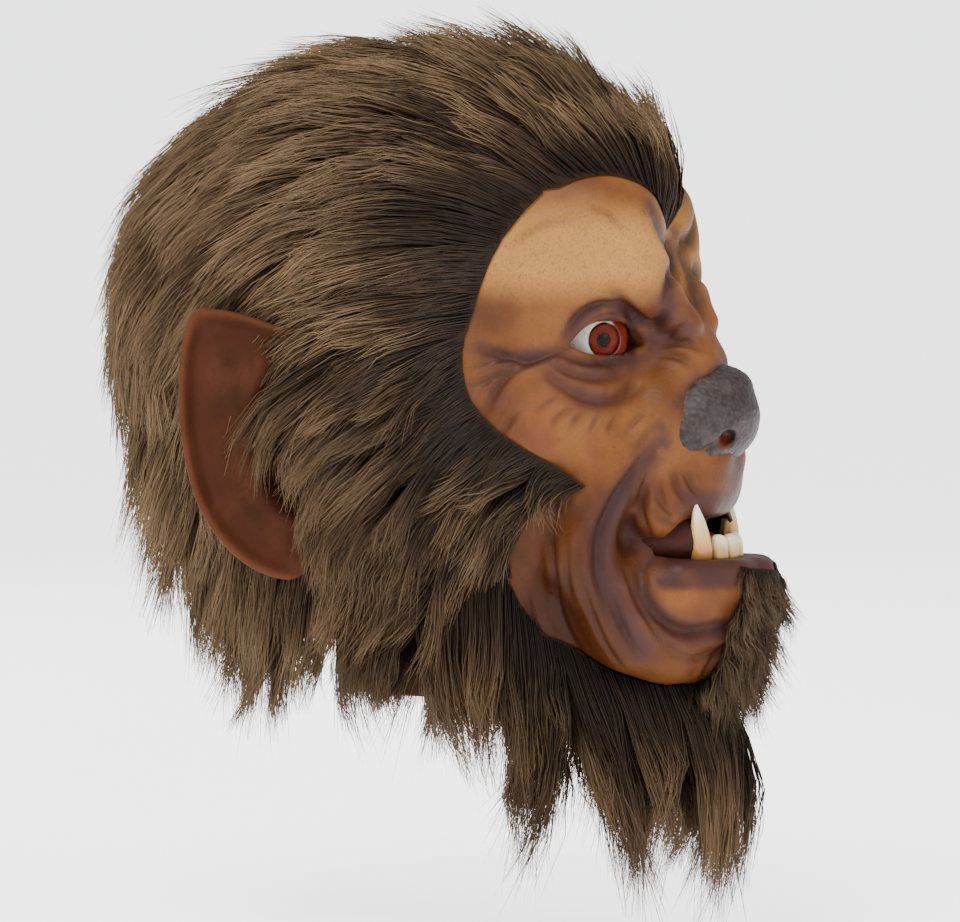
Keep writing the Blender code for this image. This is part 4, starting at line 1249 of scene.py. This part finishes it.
# %% The comb
COMB = [  # azimuth, elevation, backward, upward, length
    (0, 42, 0.12, 0.99, 44),
    (24, 54, 0.70, 0.70, 54),
    (0, 60, 0.82, 0.56, 74),
    (45, 58, 0.86, 0.48, 68),
    (0, 90, 1.00, 0.02, 96),
    (60, 56, 0.96, 0.24, 84),
    (180, 66, 0.80, -0.60, 96),
    (180, 30, 0.34, -0.94, 100),
    (180, 0, 0.16, -0.99, 108),
    (180, -22, 0.08, -1.00, 98),
    (180, -44, 0.02, -1.00, 68),
    (142, -10, 0.22, -0.97, 92),
    (142, -42, 0.10, -0.99, 66),
    (80, 32, 0.97, -0.16, 70),
    (72, 44, 0.99, 0.06, 80),
    (110, 38, 0.94, -0.30, 94),
    (140, 22, 0.62, -0.78, 78),
    (76, 10, 0.84, -0.50, 46),
    (48, -17, 0.80, -0.42, 24),
    (90, -20, 0.62, -0.78, 56),
    (97, -20, 0.82, -0.58, 56),
    (64, -40, 0.40, -0.90, 48),
    (100, -45, 0.30, -0.95, 60),
]
comb_knots = directions(row(*[c[0] for c in COMB]), row(*[c[1] for c in COMB]))
comb_knots[:, 0] = np.abs(comb_knots[:, 0])
comb_values = np.array([c[2:] for c in COMB], float)


def comb_at(points):
    """The comb's direction and length at any points."""
    heading = unit(points - HEAD_MIDDLE)
    heading[..., 0] = np.abs(heading[..., 0])
    closeness = np.clip(1.0 - heading @ comb_knots.T, 0.0, 2.0)
    weights = 1.0 / (closeness + 0.012) ** 2.2
    weights = weights / weights.sum(axis=-1, keepdims=True)
    mixed = weights @ comb_values
    way = np.stack([np.zeros(len(mixed)), mixed[:, 0], mixed[:, 1]], axis=-1)
    return unit(way), mixed[:, 2]


STEPS = 12


def groom(roots, lift, hold, stretch=1.0):
    """How hairs from these roots bend, and where their tips end, as vectors from the root."""
    way, length = comb_at(roots)
    length = length * stretch
    spots, halfway = roots.copy(), None
    for step in range(1, STEPS + 1):
        share = step / STEPS
        normal = outward(spots)
        way = comb_at(spots)[0]
        flat = way - normal * np.sum(way * normal, axis=-1, keepdims=True) * hold[:, None]
        spots = spots + unit(flat) * (length / STEPS)[:, None]
        wanted = lift * (1.0 - (1.0 - share) ** 2)
        gap = wanted - clay_at(spots)
        pushed = np.where(gap > 0.0, gap, gap * hold)
        spots = spots + outward(spots) * pushed[:, None]
        if step == STEPS // 2:
            halfway = spots - roots
    tip = spots - roots
    return 2.0 * halfway - 0.5 * tip, tip


# %% Cutting a fur panel
BACKING_HEIGHT = 0.9


def sheet_of(name, roots):
    """A sheet through rows of points, facing away from the head."""
    count, width = roots.shape[:2]
    faces = []
    for i in range(count - 1):
        for j in range(width - 1):
            a = i * width + j
            faces.append((a, a + 1, a + width + 1, a + width))
    sheet = new_object(name, roots.reshape(-1, 3), faces)
    face = sheet.data.polygons[len(faces) // 2]
    if np.array(face.normal) @ (np.array(face.center) / MM - HEAD_MIDDLE) < 0.0:
        sheet.data.flip_normals()
    return sheet


def cut_area(azimuth, elevation):
    """An estimate of the flat area that a patch is cut to, in square metres.

    The patch's outline in degrees is laid on a round head whose radius is the mean of nine
    readings from the head's middle to the latex. No finished sheet is read, but the sheets
    use the same outline and the same latex, so a patch laid out wrongly isn't caught.
    """
    rows = np.linspace(0, azimuth.shape[0] - 1, 5).astype(int)[1:4]
    columns = np.linspace(0, azimuth.shape[1] - 1, 5).astype(int)[1:4]
    spots = on_scalp(azimuth[np.ix_(rows, columns)], elevation[np.ix_(rows, columns)], 0.0)
    radius = np.linalg.norm(spots - HEAD_MIDDLE, axis=-1).mean() * MM
    outline = np.stack([np.radians(azimuth), np.sin(np.radians(elevation))], axis=-1)
    rising = outline[1:, 1:] - outline[:-1, :-1]
    falling = outline[:-1, 1:] - outline[1:, :-1]
    cells = 0.5 * np.abs(rising[..., 0] * falling[..., 1] - rising[..., 1] * falling[..., 0])
    return float(cells.sum() * radius**2)


def fur_panel(name, azimuth, elevation, edge_distance, stretch=1.0):
    """A backing sheet over a patch of the head; rows of azimuth and elevation in degrees."""
    roots = on_scalp(azimuth, elevation, BACKING_HEIGHT)
    panel = sheet_of(name, roots)
    cut_area(azimuth, elevation)
    roots = roots.reshape(-1, 3)
    frontal = smoothstep(42.0, 20.0, np.abs(azimuth)) * smoothstep(36.0, 44.0, elevation)
    taper = along(EDGE_TAPER, edge_distance)
    rise = along(PILE_LIFT, elevation) * np.maximum(taper, 0.9 * frontal)
    brow = smoothstep(70.0, 25.0, np.abs(azimuth)) * smoothstep(38.0, 50.0, elevation)
    rise = rise + 5.0 * brow * smoothstep(84.0, 64.0, elevation)
    back = smoothstep(118.0, 165.0, np.abs(azimuth))
    rise = rise + 11.0 * back * smoothstep(70.0, 30.0, elevation)
    rise = rise + 15.0 * back * smoothstep(15.0, -25.0, elevation)
    ear_front = smoothstep(74.0, 88.0, np.abs(azimuth)) * smoothstep(120.0, 112.0, np.abs(azimuth))
    rise = (rise + 14.0 * ear_front * smoothstep(24.0, 5.0, elevation)).ravel()
    free = smoothstep(112.0, 140.0, np.abs(azimuth)) * smoothstep(42.0, 12.0, elevation)
    hold = (smoothstep(-52.0, -28.0, elevation) * 0.8 * (1.0 - free)).ravel()
    bend, tip = groom(roots, rise, hold, stretch)
    shorter = np.maximum(along(EDGE_LENGTH, edge_distance), 0.95 * frontal).ravel()[:, None]
    store_comb(panel, bend * shorter, tip * shorter)
    return panel


def store_comb(panel, bend, tip):
    """Keeps both vectors on the sheet, in metres."""
    for key, vectors in (("hair_bend", bend), ("hair_tip", tip)):
        layer = panel.data.attributes.new(key, "FLOAT_VECTOR", "POINT")
        layer.data.foreach_set("vector", (vectors * MM).astype(np.float32).ravel())


PILE_LIFT = [(-45, 12), (0, 13), (24, 17), (60, 19), (90, 19)]
EDGE_TAPER = [(0, 0.28), (6, 0.6), (14, 1.0)]
EDGE_LENGTH = [(0, 0.72), (8, 0.9), (14, 1.0)]
CROWN_EDGE, SIDE_EDGE, CHEEK_BACK, NAPE_START = 58.0, 24.0, 113.0, 129.0


def patch(u_count, v_count):
    u, v = np.linspace(0.0, 1.0, u_count), np.linspace(0.0, 1.0, v_count)
    return np.meshgrid(u, v, indexing="ij")


# %% [markdown]
# The crown panel starts at the widow's peak and covers the top. It is laid out like a fan
# round the top of the head, so it closes there without a hole.

# %% Crown panel
around, inward = patch(73, 20)
azimuth = -180.0 + 360.0 * around
front = along(HAIRLINE, np.abs(azimuth))
elevation = front + (89.9 - front) * inward
edge = np.where(np.abs(azimuth) < 66.0, elevation - front, 20.0)
crown = fur_panel("crown_backing", azimuth, elevation, edge)

# %% [markdown]
# The side panels run from the temples to the back of the head, above the ears. The cheek
# panels come forward in a point over the cheek. The nape panel closes the back.

# %% Side, cheek and nape panels
backs, ups = patch(30, 16)
panels = {}
for side, word in ((1, "right"), (-1, "left")):
    elevation = SIDE_EDGE + (CROWN_EDGE - SIDE_EDGE) * ups
    temple = along(TEMPLE_EDGE, elevation)
    azimuth = temple + (180.0 - temple) * backs
    panels[word + "_side"] = fur_panel(
        word + "_side_backing", azimuth * side, elevation, azimuth - temple
    )
    elevation = -46.0 + (SIDE_EDGE + 46.0) * ups
    cheek = along(CHEEK_EDGE, elevation)
    azimuth = cheek + (CHEEK_BACK - cheek) * backs
    panels[word + "_cheek"] = fur_panel(
        word + "_cheek_backing", azimuth * side, elevation, (azimuth - cheek) * 1.2
    )
elevation = -46.0 + (SIDE_EDGE + 46.0) * ups
azimuth = NAPE_START + (360.0 - 2.0 * NAPE_START) * backs
panels["nape"] = fur_panel("nape_backing", azimuth, elevation, np.full(azimuth.shape, 20.0))
print("panels:", len(panels) + 1)

# %% [markdown]
# The beard hangs from a narrow strip that is glued under the jaw, so its hairs aren't
# combed over the head. They swing out from the strip and fall to a ragged edge below the
# neck, longest under the chin.

# %% Beard panels
BEARD_STRIP = [(0, -47), (15, -49), (32, -55), (47, -56), (57, -51.5), (64, -45),
               (74, -44), (130, -46)]
BEARD_SWELL = [(0, 140), (15, 130), (30, 106), (45, 95), (60, 90), (90, 88), (130, 86)]
BEARD_OUT = [(0, 102), (15, 99), (30, 97), (45, 90), (60, 88), (90, 88), (130, 88)]
BEARD_FOOT = [(0, -104), (25, -98), (50, -74), (80, -48), (130, -30)]


def beard_panel(name, side):
    sweep, drop = patch(44, 8)
    azimuth = 130.0 * sweep
    elevation = along(BEARD_STRIP, azimuth) - 15.0 * drop
    roots = on_scalp(azimuth * side, elevation, BACKING_HEIGHT)
    panel = sheet_of(name, roots)
    cut_area(azimuth, elevation)
    inner = 1.0 - 0.35 * drop
    ring = directions(azimuth * side, 0.0 * azimuth)
    tip = ring * (along(BEARD_OUT, azimuth) * inner)[..., None]
    tip[..., 2] = along(BEARD_FOOT, azimuth) + 26.0 * drop
    swell = ring * (along(BEARD_SWELL, azimuth) * inner)[..., None]
    swell[..., 2] = roots[..., 2] * 0.45 + tip[..., 2] * 0.55 + 8.0
    bend = (swell - roots).reshape(-1, 3)
    store_comb(panel, bend, (tip - roots).reshape(-1, 3))
    return panel


for side, word in ((1, "right"), (-1, "left")):
    panels[word + "_beard"] = beard_panel(word + "_beard_backing", side)

# %% [markdown]
# One Geometry Nodes tree grows the pile of every panel. It scatters roots over the sheet,
# stands a five-point curve on each, and bends the curve by the two stored vectors. Hairs
# of real fur cling together in locks, so each hair leans towards the nearest of a sparser
# set of lock roots, more and more towards its tip. The tree's inputs are the pile's own
# figures: hairs and locks per square metre, thickness, clinging, sway and frizz.

# %% The hair-growing tree
tree = bpy.data.node_groups.new("grow_pile", "GeometryNodeTree")


def tree_input(name, kind, value=None):
    made = tree.interface.new_socket(name, in_out="INPUT", socket_type=kind)
    if value is not None:
        made.default_value = value
    return made


tree_input("Geometry", "NodeSocketGeometry")
tree_input("Hairs per m2", "NodeSocketFloat", 600000.0)
tree_input("Locks per m2", "NodeSocketFloat", 12000.0)
tree_input("Thickness", "NodeSocketFloat", 0.0003)
tree_input("Clinging", "NodeSocketFloat", 0.7)
tree_input("Lock sway", "NodeSocketFloat", 0.012)
tree_input("Hair sway", "NodeSocketFloat", 0.006)
tree_input("Frizz", "NodeSocketFloat", 0.002)
tree_input("Shortest", "NodeSocketFloat", 0.55)
tree_input("Seed", "NodeSocketInt", 1)
tree_input("Material", "NodeSocketMaterial")
tree.interface.new_socket("Geometry", in_out="OUTPUT", socket_type="NodeSocketGeometry")
entry = tree.nodes.new("NodeGroupInput")
leave = tree.nodes.new("NodeGroupOutput")


def node(kind, settings=(), **inputs):
    """Adds a node; inputs are sockets to link or plain values, by the socket's name."""
    made = tree.nodes.new(kind)
    for key, value in dict(settings).items():
        setattr(made, key, value)
    for key, value in inputs.items():
        socket = pick(made.inputs, key)
        if isinstance(value, bpy.types.NodeSocket):
            tree.links.new(value, socket)
        else:
            socket.default_value = value
    return made


def pick(sockets, key):
    """The enabled socket with this name, where _ stands for a space."""
    wanted = key.replace("_", " ")
    return next(s for s in sockets if s.enabled and s.name == wanted)


def sum_up(first, second, operation="ADD"):
    made = tree.nodes.new("ShaderNodeMath")
    made.operation = operation
    feed(made.inputs[0], first)
    feed(made.inputs[1], second)
    return made.outputs[0]


def feed(socket, value):
    if isinstance(value, bpy.types.NodeSocket):
        tree.links.new(value, socket)
    else:
        socket.default_value = value


def vector(first, second, operation="ADD"):
    made = tree.nodes.new("ShaderNodeVectorMath")
    made.operation = operation
    feed(made.inputs[0], first)
    feed(made.inputs[1 if operation != "SCALE" else 3], second)
    return made.outputs[0]


def stored(name, kind):
    return node("GeometryNodeInputNamedAttribute", {"data_type": kind}, Name=name).outputs[0]


def keep(geometry, name, kind, value):
    made = node("GeometryNodeStoreNamedAttribute", {"data_type": kind, "domain": "POINT"},
                Geometry=geometry, Name=name)
    feed(pick(made.inputs, "Value"), value)
    return made.outputs[0]


def dice(kind, low, high, seed_step, who=None):
    """A random number or vector for each point, or for each lock if who says which."""
    made = node("FunctionNodeRandomValue", {"data_type": kind})
    feed(pick(made.inputs, "Min"), low)
    feed(pick(made.inputs, "Max"), high)
    feed(pick(made.inputs, "Seed"), sum_up(entry.outputs["Seed"], seed_step))
    if who is not None:
        feed(pick(made.inputs, "ID"), who)
    return made.outputs[0 if kind == "FLOAT_VECTOR" else 1]


where = node("GeometryNodeInputPosition").outputs[0]
scatter = node("GeometryNodeDistributePointsOnFaces", Mesh=entry.outputs["Geometry"],
               Density=entry.outputs["Hairs per m2"], Seed=entry.outputs["Seed"])
lock_seed = sum_up(entry.outputs["Seed"], 50)
locks = node("GeometryNodeDistributePointsOnFaces", Mesh=entry.outputs["Geometry"],
             Density=entry.outputs["Locks per m2"], Seed=lock_seed).outputs["Points"]
nearest = node("GeometryNodeSampleNearest", {"domain": "POINT"}, Geometry=locks).outputs[0]
lock_root = node("GeometryNodeSampleIndex", {"data_type": "FLOAT_VECTOR", "domain": "POINT"},
                 Geometry=locks, Value=where, Index=nearest).outputs[0]
low, high = (-1.0, -1.0, -1.0), (1.0, 1.0, 1.0)
lock_sway = vector(dice("FLOAT_VECTOR", low, high, 3, nearest), entry.outputs["Lock sway"], "SCALE")
hair_sway = vector(dice("FLOAT_VECTOR", low, high, 4), entry.outputs["Hair sway"], "SCALE")
points = scatter.outputs["Points"]
points = keep(points, "root", "FLOAT_VECTOR", where)
points = keep(points, "pull", "FLOAT_VECTOR", vector(lock_root, where, "SUBTRACT"))
points = keep(points, "sway", "FLOAT_VECTOR", vector(lock_sway, hair_sway))
lock_tint = dice("FLOAT", 0.0, 1.0, 5, nearest)
hair_tint = dice("FLOAT", 0.0, 1.0, 6)
points = keep(points, "tint", "FLOAT", sum_up(sum_up(lock_tint, 0.45, "MULTIPLY"),
                                              sum_up(hair_tint, 0.55, "MULTIPLY")))
lock_length = dice("FLOAT", 0.0, 1.0, 7, nearest)
hair_length = dice("FLOAT", 0.0, 1.0, 8)
mixed_length = sum_up(sum_up(lock_length, 0.5, "MULTIPLY"), sum_up(hair_length, 0.5, "MULTIPLY"))
spread = sum_up(1.0, entry.outputs["Shortest"], "SUBTRACT")
points = keep(points, "reach", "FLOAT",
              sum_up(entry.outputs["Shortest"], sum_up(mixed_length, spread, "MULTIPLY")))

line = node("GeometryNodeCurvePrimitiveLine").outputs[0]
line = node("GeometryNodeResampleCurve", {"mode": "COUNT"}, Curve=line, Count=5).outputs[0]
stood = node("GeometryNodeInstanceOnPoints", Points=points, Instance=line).outputs[0]
curves = node("GeometryNodeRealizeInstances", Geometry=stood).outputs[0]
share = node("GeometryNodeSplineParameter").outputs["Factor"]
curves = keep(curves, "share", "FLOAT", share)
share = stored("share", "FLOAT")
reach = sum_up(share, stored("reach", "FLOAT"), "MULTIPLY")
bend_part = sum_up(sum_up(reach, sum_up(1.0, reach, "SUBTRACT"), "MULTIPLY"), 2.0, "MULTIPLY")
tip_part = sum_up(reach, reach, "MULTIPLY")
cling = sum_up(sum_up(reach, 1.3, "POWER"), entry.outputs["Clinging"], "MULTIPLY")
place = vector(stored("root", "FLOAT_VECTOR"), vector(stored("hair_bend", "FLOAT_VECTOR"),
                                                      bend_part, "SCALE"))
place = vector(place, vector(stored("hair_tip", "FLOAT_VECTOR"), tip_part, "SCALE"))
place = vector(place, vector(stored("pull", "FLOAT_VECTOR"), cling, "SCALE"))
place = vector(place, vector(stored("sway", "FLOAT_VECTOR"), tip_part, "SCALE"))
wander = node("ShaderNodeTexNoise", Vector=place, Scale=70.0, Detail=1.0).outputs["Color"]
wander = vector(wander, (0.5, 0.5, 0.5), "SUBTRACT")
wander = vector(vector(wander, entry.outputs["Frizz"], "SCALE"), reach, "SCALE")
place = vector(place, vector(wander, 4.0, "SCALE"))
bent = node("GeometryNodeSetPosition", Geometry=curves, Position=place).outputs[0]
swell = sum_up(1.0, sum_up(share, 2.2, "POWER"), "SUBTRACT")
radius = sum_up(entry.outputs["Thickness"], sum_up(sum_up(swell, 0.88, "MULTIPLY"), 0.12), "MULTIPLY")
ring = node("GeometryNodeCurvePrimitiveCircle", Resolution=3, Radius=1.0).outputs[0]
hairs = node("GeometryNodeCurveToMesh", Curve=bent, Profile_Curve=ring, Scale=radius,
             Fill_Caps=True).outputs[0]
shaded = node("GeometryNodeSetShadeSmooth", Geometry=hairs).outputs[0]
plain = node("GeometryNodeRealizeInstances", Geometry=shaded).outputs[0]
dyed = node("GeometryNodeSetMaterial", Geometry=plain,
            Material=entry.outputs["Material"]).outputs[0]
tree.links.new(dyed, leave.inputs["Geometry"])

# %% [markdown]
# Growing the pile: the tree is put on a copy of the panel, evaluated, and turned into a
# plain mesh. Each hair's tint and the way along it then become a UV map, so the hair colour
# below can follow the hair from root to tip. It is darkest at the root, partly the fur's
# own colour and partly painted shade deep in the pile.

# %% Growing and colouring, with painted shade at the roots
HAIR_COUNT = 1.0


def grow_pile(panel, name, seed, hairs, material, **figures):
    """Pile on a panel; hairs and locks are counted per square centimetre."""
    pile = bpy.data.objects.new(name, panel.data.copy())
    bpy.context.scene.collection.objects.link(pile)
    grown = pile.modifiers.new("grow_pile", "NODES")
    grown.node_group = tree
    values = {"Hairs per m2": hairs * 1e4 * HAIR_COUNT, "Seed": seed, "Material": material}
    values.update({key.replace("_", " "): value for key, value in figures.items()})
    for socket in tree.interface.items_tree:
        if socket.item_type == "SOCKET" and socket.name in values:
            grown[socket.identifier] = values[socket.name]
    finish_mesh(pile)
    mesh = pile.data
    numbers = {}
    for key in ("tint", "share"):
        numbers[key] = np.empty(len(mesh.vertices), np.float32)
        mesh.attributes[key].data.foreach_get("value", numbers[key])
    corners = np.empty(len(mesh.loops), np.int32)
    mesh.loops.foreach_get("vertex_index", corners)
    spread = 0.012 * (corners % 3)
    across = np.clip(numbers["tint"][corners] * 0.95 + spread, 0.002, 0.998)
    lengthwise = np.clip(numbers["share"][corners], 0.002, 0.998)
    for key in [a.name for a in mesh.attributes if a.name in KEPT_BY_TREE]:
        mesh.attributes.remove(mesh.attributes[key])
    layer = mesh.uv_layers.new(name="OFBake")
    layer.data.foreach_set("uv", np.stack([across, lengthwise], axis=-1).ravel())
    return pile


KEPT_BY_TREE = ("tint", "share", "root", "pull", "sway", "reach", "hair_bend", "hair_tip")


def hair_dye_and_root_shade(name, roots, middle, tips, darkest, lightest):
    """A dye that changes a little from hair to hair and darkens from tip to root; the dark root is partly
    the dye and partly painted shade deep in the pile.
    """
    dye = bpy.data.materials.new(name)
    dye.use_nodes = True
    nodes, links = dye.node_tree.nodes, dye.node_tree.links
    shader = nodes["Principled BSDF"]
    shader.inputs["Roughness"].default_value = 0.5
    shader.inputs["Specular IOR Level"].default_value = 0.12
    spots = nodes.new("ShaderNodeUVMap")
    spots.uv_map = "OFBake"
    split = nodes.new("ShaderNodeSeparateXYZ")
    links.new(spots.outputs[0], split.inputs[0])
    ramp = nodes.new("ShaderNodeValToRGB")
    # the ramp darkens towards the root: partly the fur's own colour, partly painted shade deep in the pile
    ramp.color_ramp.elements[0].color = (*roots, 1.0)
    ramp.color_ramp.elements[1].color = (*tips, 1.0)
    ramp.color_ramp.elements.new(0.45).color = (*middle, 1.0)
    links.new(split.outputs[1], ramp.inputs[0])
    tint = nodes.new("ShaderNodeMapRange")
    tint.inputs["To Min"].default_value = darkest
    tint.inputs["To Max"].default_value = lightest
    links.new(split.outputs[0], tint.inputs["Value"])
    scaled = nodes.new("ShaderNodeVectorMath")
    scaled.operation = "SCALE"
    links.new(ramp.outputs[0], scaled.inputs[0])
    links.new(tint.outputs[0], scaled.inputs["Scale"])
    links.new(scaled.outputs[0], shader.inputs["Base Color"])
    return dye


def backing_cloth(name, colour):
    cloth = bpy.data.materials.new(name)
    cloth.use_nodes = True
    nodes, links = cloth.node_tree.nodes, cloth.node_tree.links
    shader = nodes["Principled BSDF"]
    shader.inputs["Roughness"].default_value = 0.9
    shader.inputs["Specular IOR Level"].default_value = 0.1
    place = nodes.new("ShaderNodeTexCoord")
    noise = nodes.new("ShaderNodeTexNoise")
    noise.inputs["Scale"].default_value = 900.0
    links.new(place.outputs["Object"], noise.inputs["Vector"])
    ramp = nodes.new("ShaderNodeValToRGB")
    ramp.color_ramp.elements[0].color = (*[c * 0.5 for c in colour], 1.0)
    ramp.color_ramp.elements[1].color = (*[c * 1.5 for c in colour], 1.0)
    links.new(noise.outputs["Fac"], ramp.inputs[0])
    links.new(ramp.outputs[0], shader.inputs["Base Color"])
    return cloth


long_dye_and_root_shade = hair_dye_and_root_shade("long_fur_dye_and_root_shade", (0.006, 0.003, 0.002), (0.018, 0.010, 0.005),
                    (0.105, 0.067, 0.034), 0.30, 2.3)
dark_dye_and_root_shade = hair_dye_and_root_shade("dark_fur_dye_and_root_shade", (0.005, 0.003, 0.002), (0.014, 0.008, 0.004),
                    (0.078, 0.048, 0.024), 0.35, 2.2)
knit = backing_cloth("knit_backing", (0.014, 0.008, 0.004))


def dress(panel, nodes, slot, flat, *piles):
    """Gives a panel's backing its cloth and puts both the backing and its pile on the frame."""
    on_frame(panel, knit, slot, *nodes)
    for pile in piles:
        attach(pile, "root")
        pile.data.calc_loop_triangles()
        print(pile.name, len(pile.data.loop_triangles), "triangles")


LONG = dict(Locks_per_m2=6500.0, Thickness=0.00036, Clinging=0.72, Lock_sway=0.011,
            Hair_sway=0.006, Frizz=0.004, Shortest=0.55)
SHORT = dict(Locks_per_m2=9000.0, Thickness=0.00033, Clinging=0.72, Lock_sway=0.013,
             Hair_sway=0.006, Frizz=0.004, Shortest=0.5)
BEARD = dict(Locks_per_m2=5500.0, Thickness=0.00034, Clinging=0.85, Lock_sway=0.021,
             Hair_sway=0.008, Frizz=0.007, Shortest=0.42)
crown_pile = grow_pile(crown, "crown_pile", 11, 35.0, long_dye_and_root_shade, **LONG)
dress(crown, ["crown_fur"], "long_fur", (0.20, 0.20), crown_pile)
for step, word in enumerate(("right", "left")):
    panel = panels[word + "_side"]
    pile = grow_pile(panel, word + "_side_pile", 20 + step, 49.0, long_dye_and_root_shade, **LONG)
    dress(panel, [word + "_side_fur"], "long_fur", (0.26, 0.10), pile)
    panel = panels[word + "_cheek"]
    pile = grow_pile(panel, word + "_cheek_pile", 30 + step, 76.0, dark_dye_and_root_shade, **SHORT)
    dress(panel, [word + "_cheek_fur"], "dark_fur", (0.14, 0.12), pile)
    panel = panels[word + "_beard"]
    pile = grow_pile(panel, word + "_beard_pile", 40 + step, 104.0, dark_dye_and_root_shade, **BEARD)
    dress(panel, [word + "_beard_fur"], "dark_fur", (0.22, 0.05), pile)
panel = panels["nape"]
pile = grow_pile(panel, "nape_pile", 50, 25.0, long_dye_and_root_shade, **LONG)
dress(panel, ["nape_fur"], "long_fur", (0.26, 0.18), pile)

# %% [markdown]
# The chin tuft is a different fur, short and curly like lamb's wool. The same tree makes
# it: many locks, strong clinging and a lot of frizz.

# %% Chin tuft
curly_dye_and_root_shade = hair_dye_and_root_shade("curly_fur_dye_and_root_shade", (0.007, 0.004, 0.002), (0.022, 0.013, 0.007),
                     (0.080, 0.052, 0.029), 0.40, 1.9)
around, drop = patch(10, 16)
azimuth, elevation = -11.0 + 22.0 * around, -27.0 - 24.0 * drop
roots = on_scalp(azimuth, elevation, BACKING_HEIGHT)
tuft = sheet_of("chin_backing", roots)
cut_area(azimuth, elevation)
fall = row(0, -0.12, -0.99) * (19.0 + 15.0 * drop)[..., None]
puff = row(0, -1.0, -3.0) * np.ones(drop.shape)[..., None]
sideways = row(1, 0, 0) * (roots[..., :1] * 0.25)
store_comb(tuft, (puff + sideways).reshape(-1, 3), (fall + puff * 0.3 + sideways).reshape(-1, 3))
tuft_pile = grow_pile(tuft, "chin_pile", 60, 165.0, curly_dye_and_root_shade, Locks_per_m2=90000.0,
                      Thickness=0.00026, Clinging=0.5, Lock_sway=0.009, Hair_sway=0.005,
                      Frizz=0.004, Shortest=0.45)
dress(tuft, ["chin_tuft"], "curly_fur", (0.065, 0.05), tuft_pile)

# %% Updating the scene
bpy.context.view_layer.update()
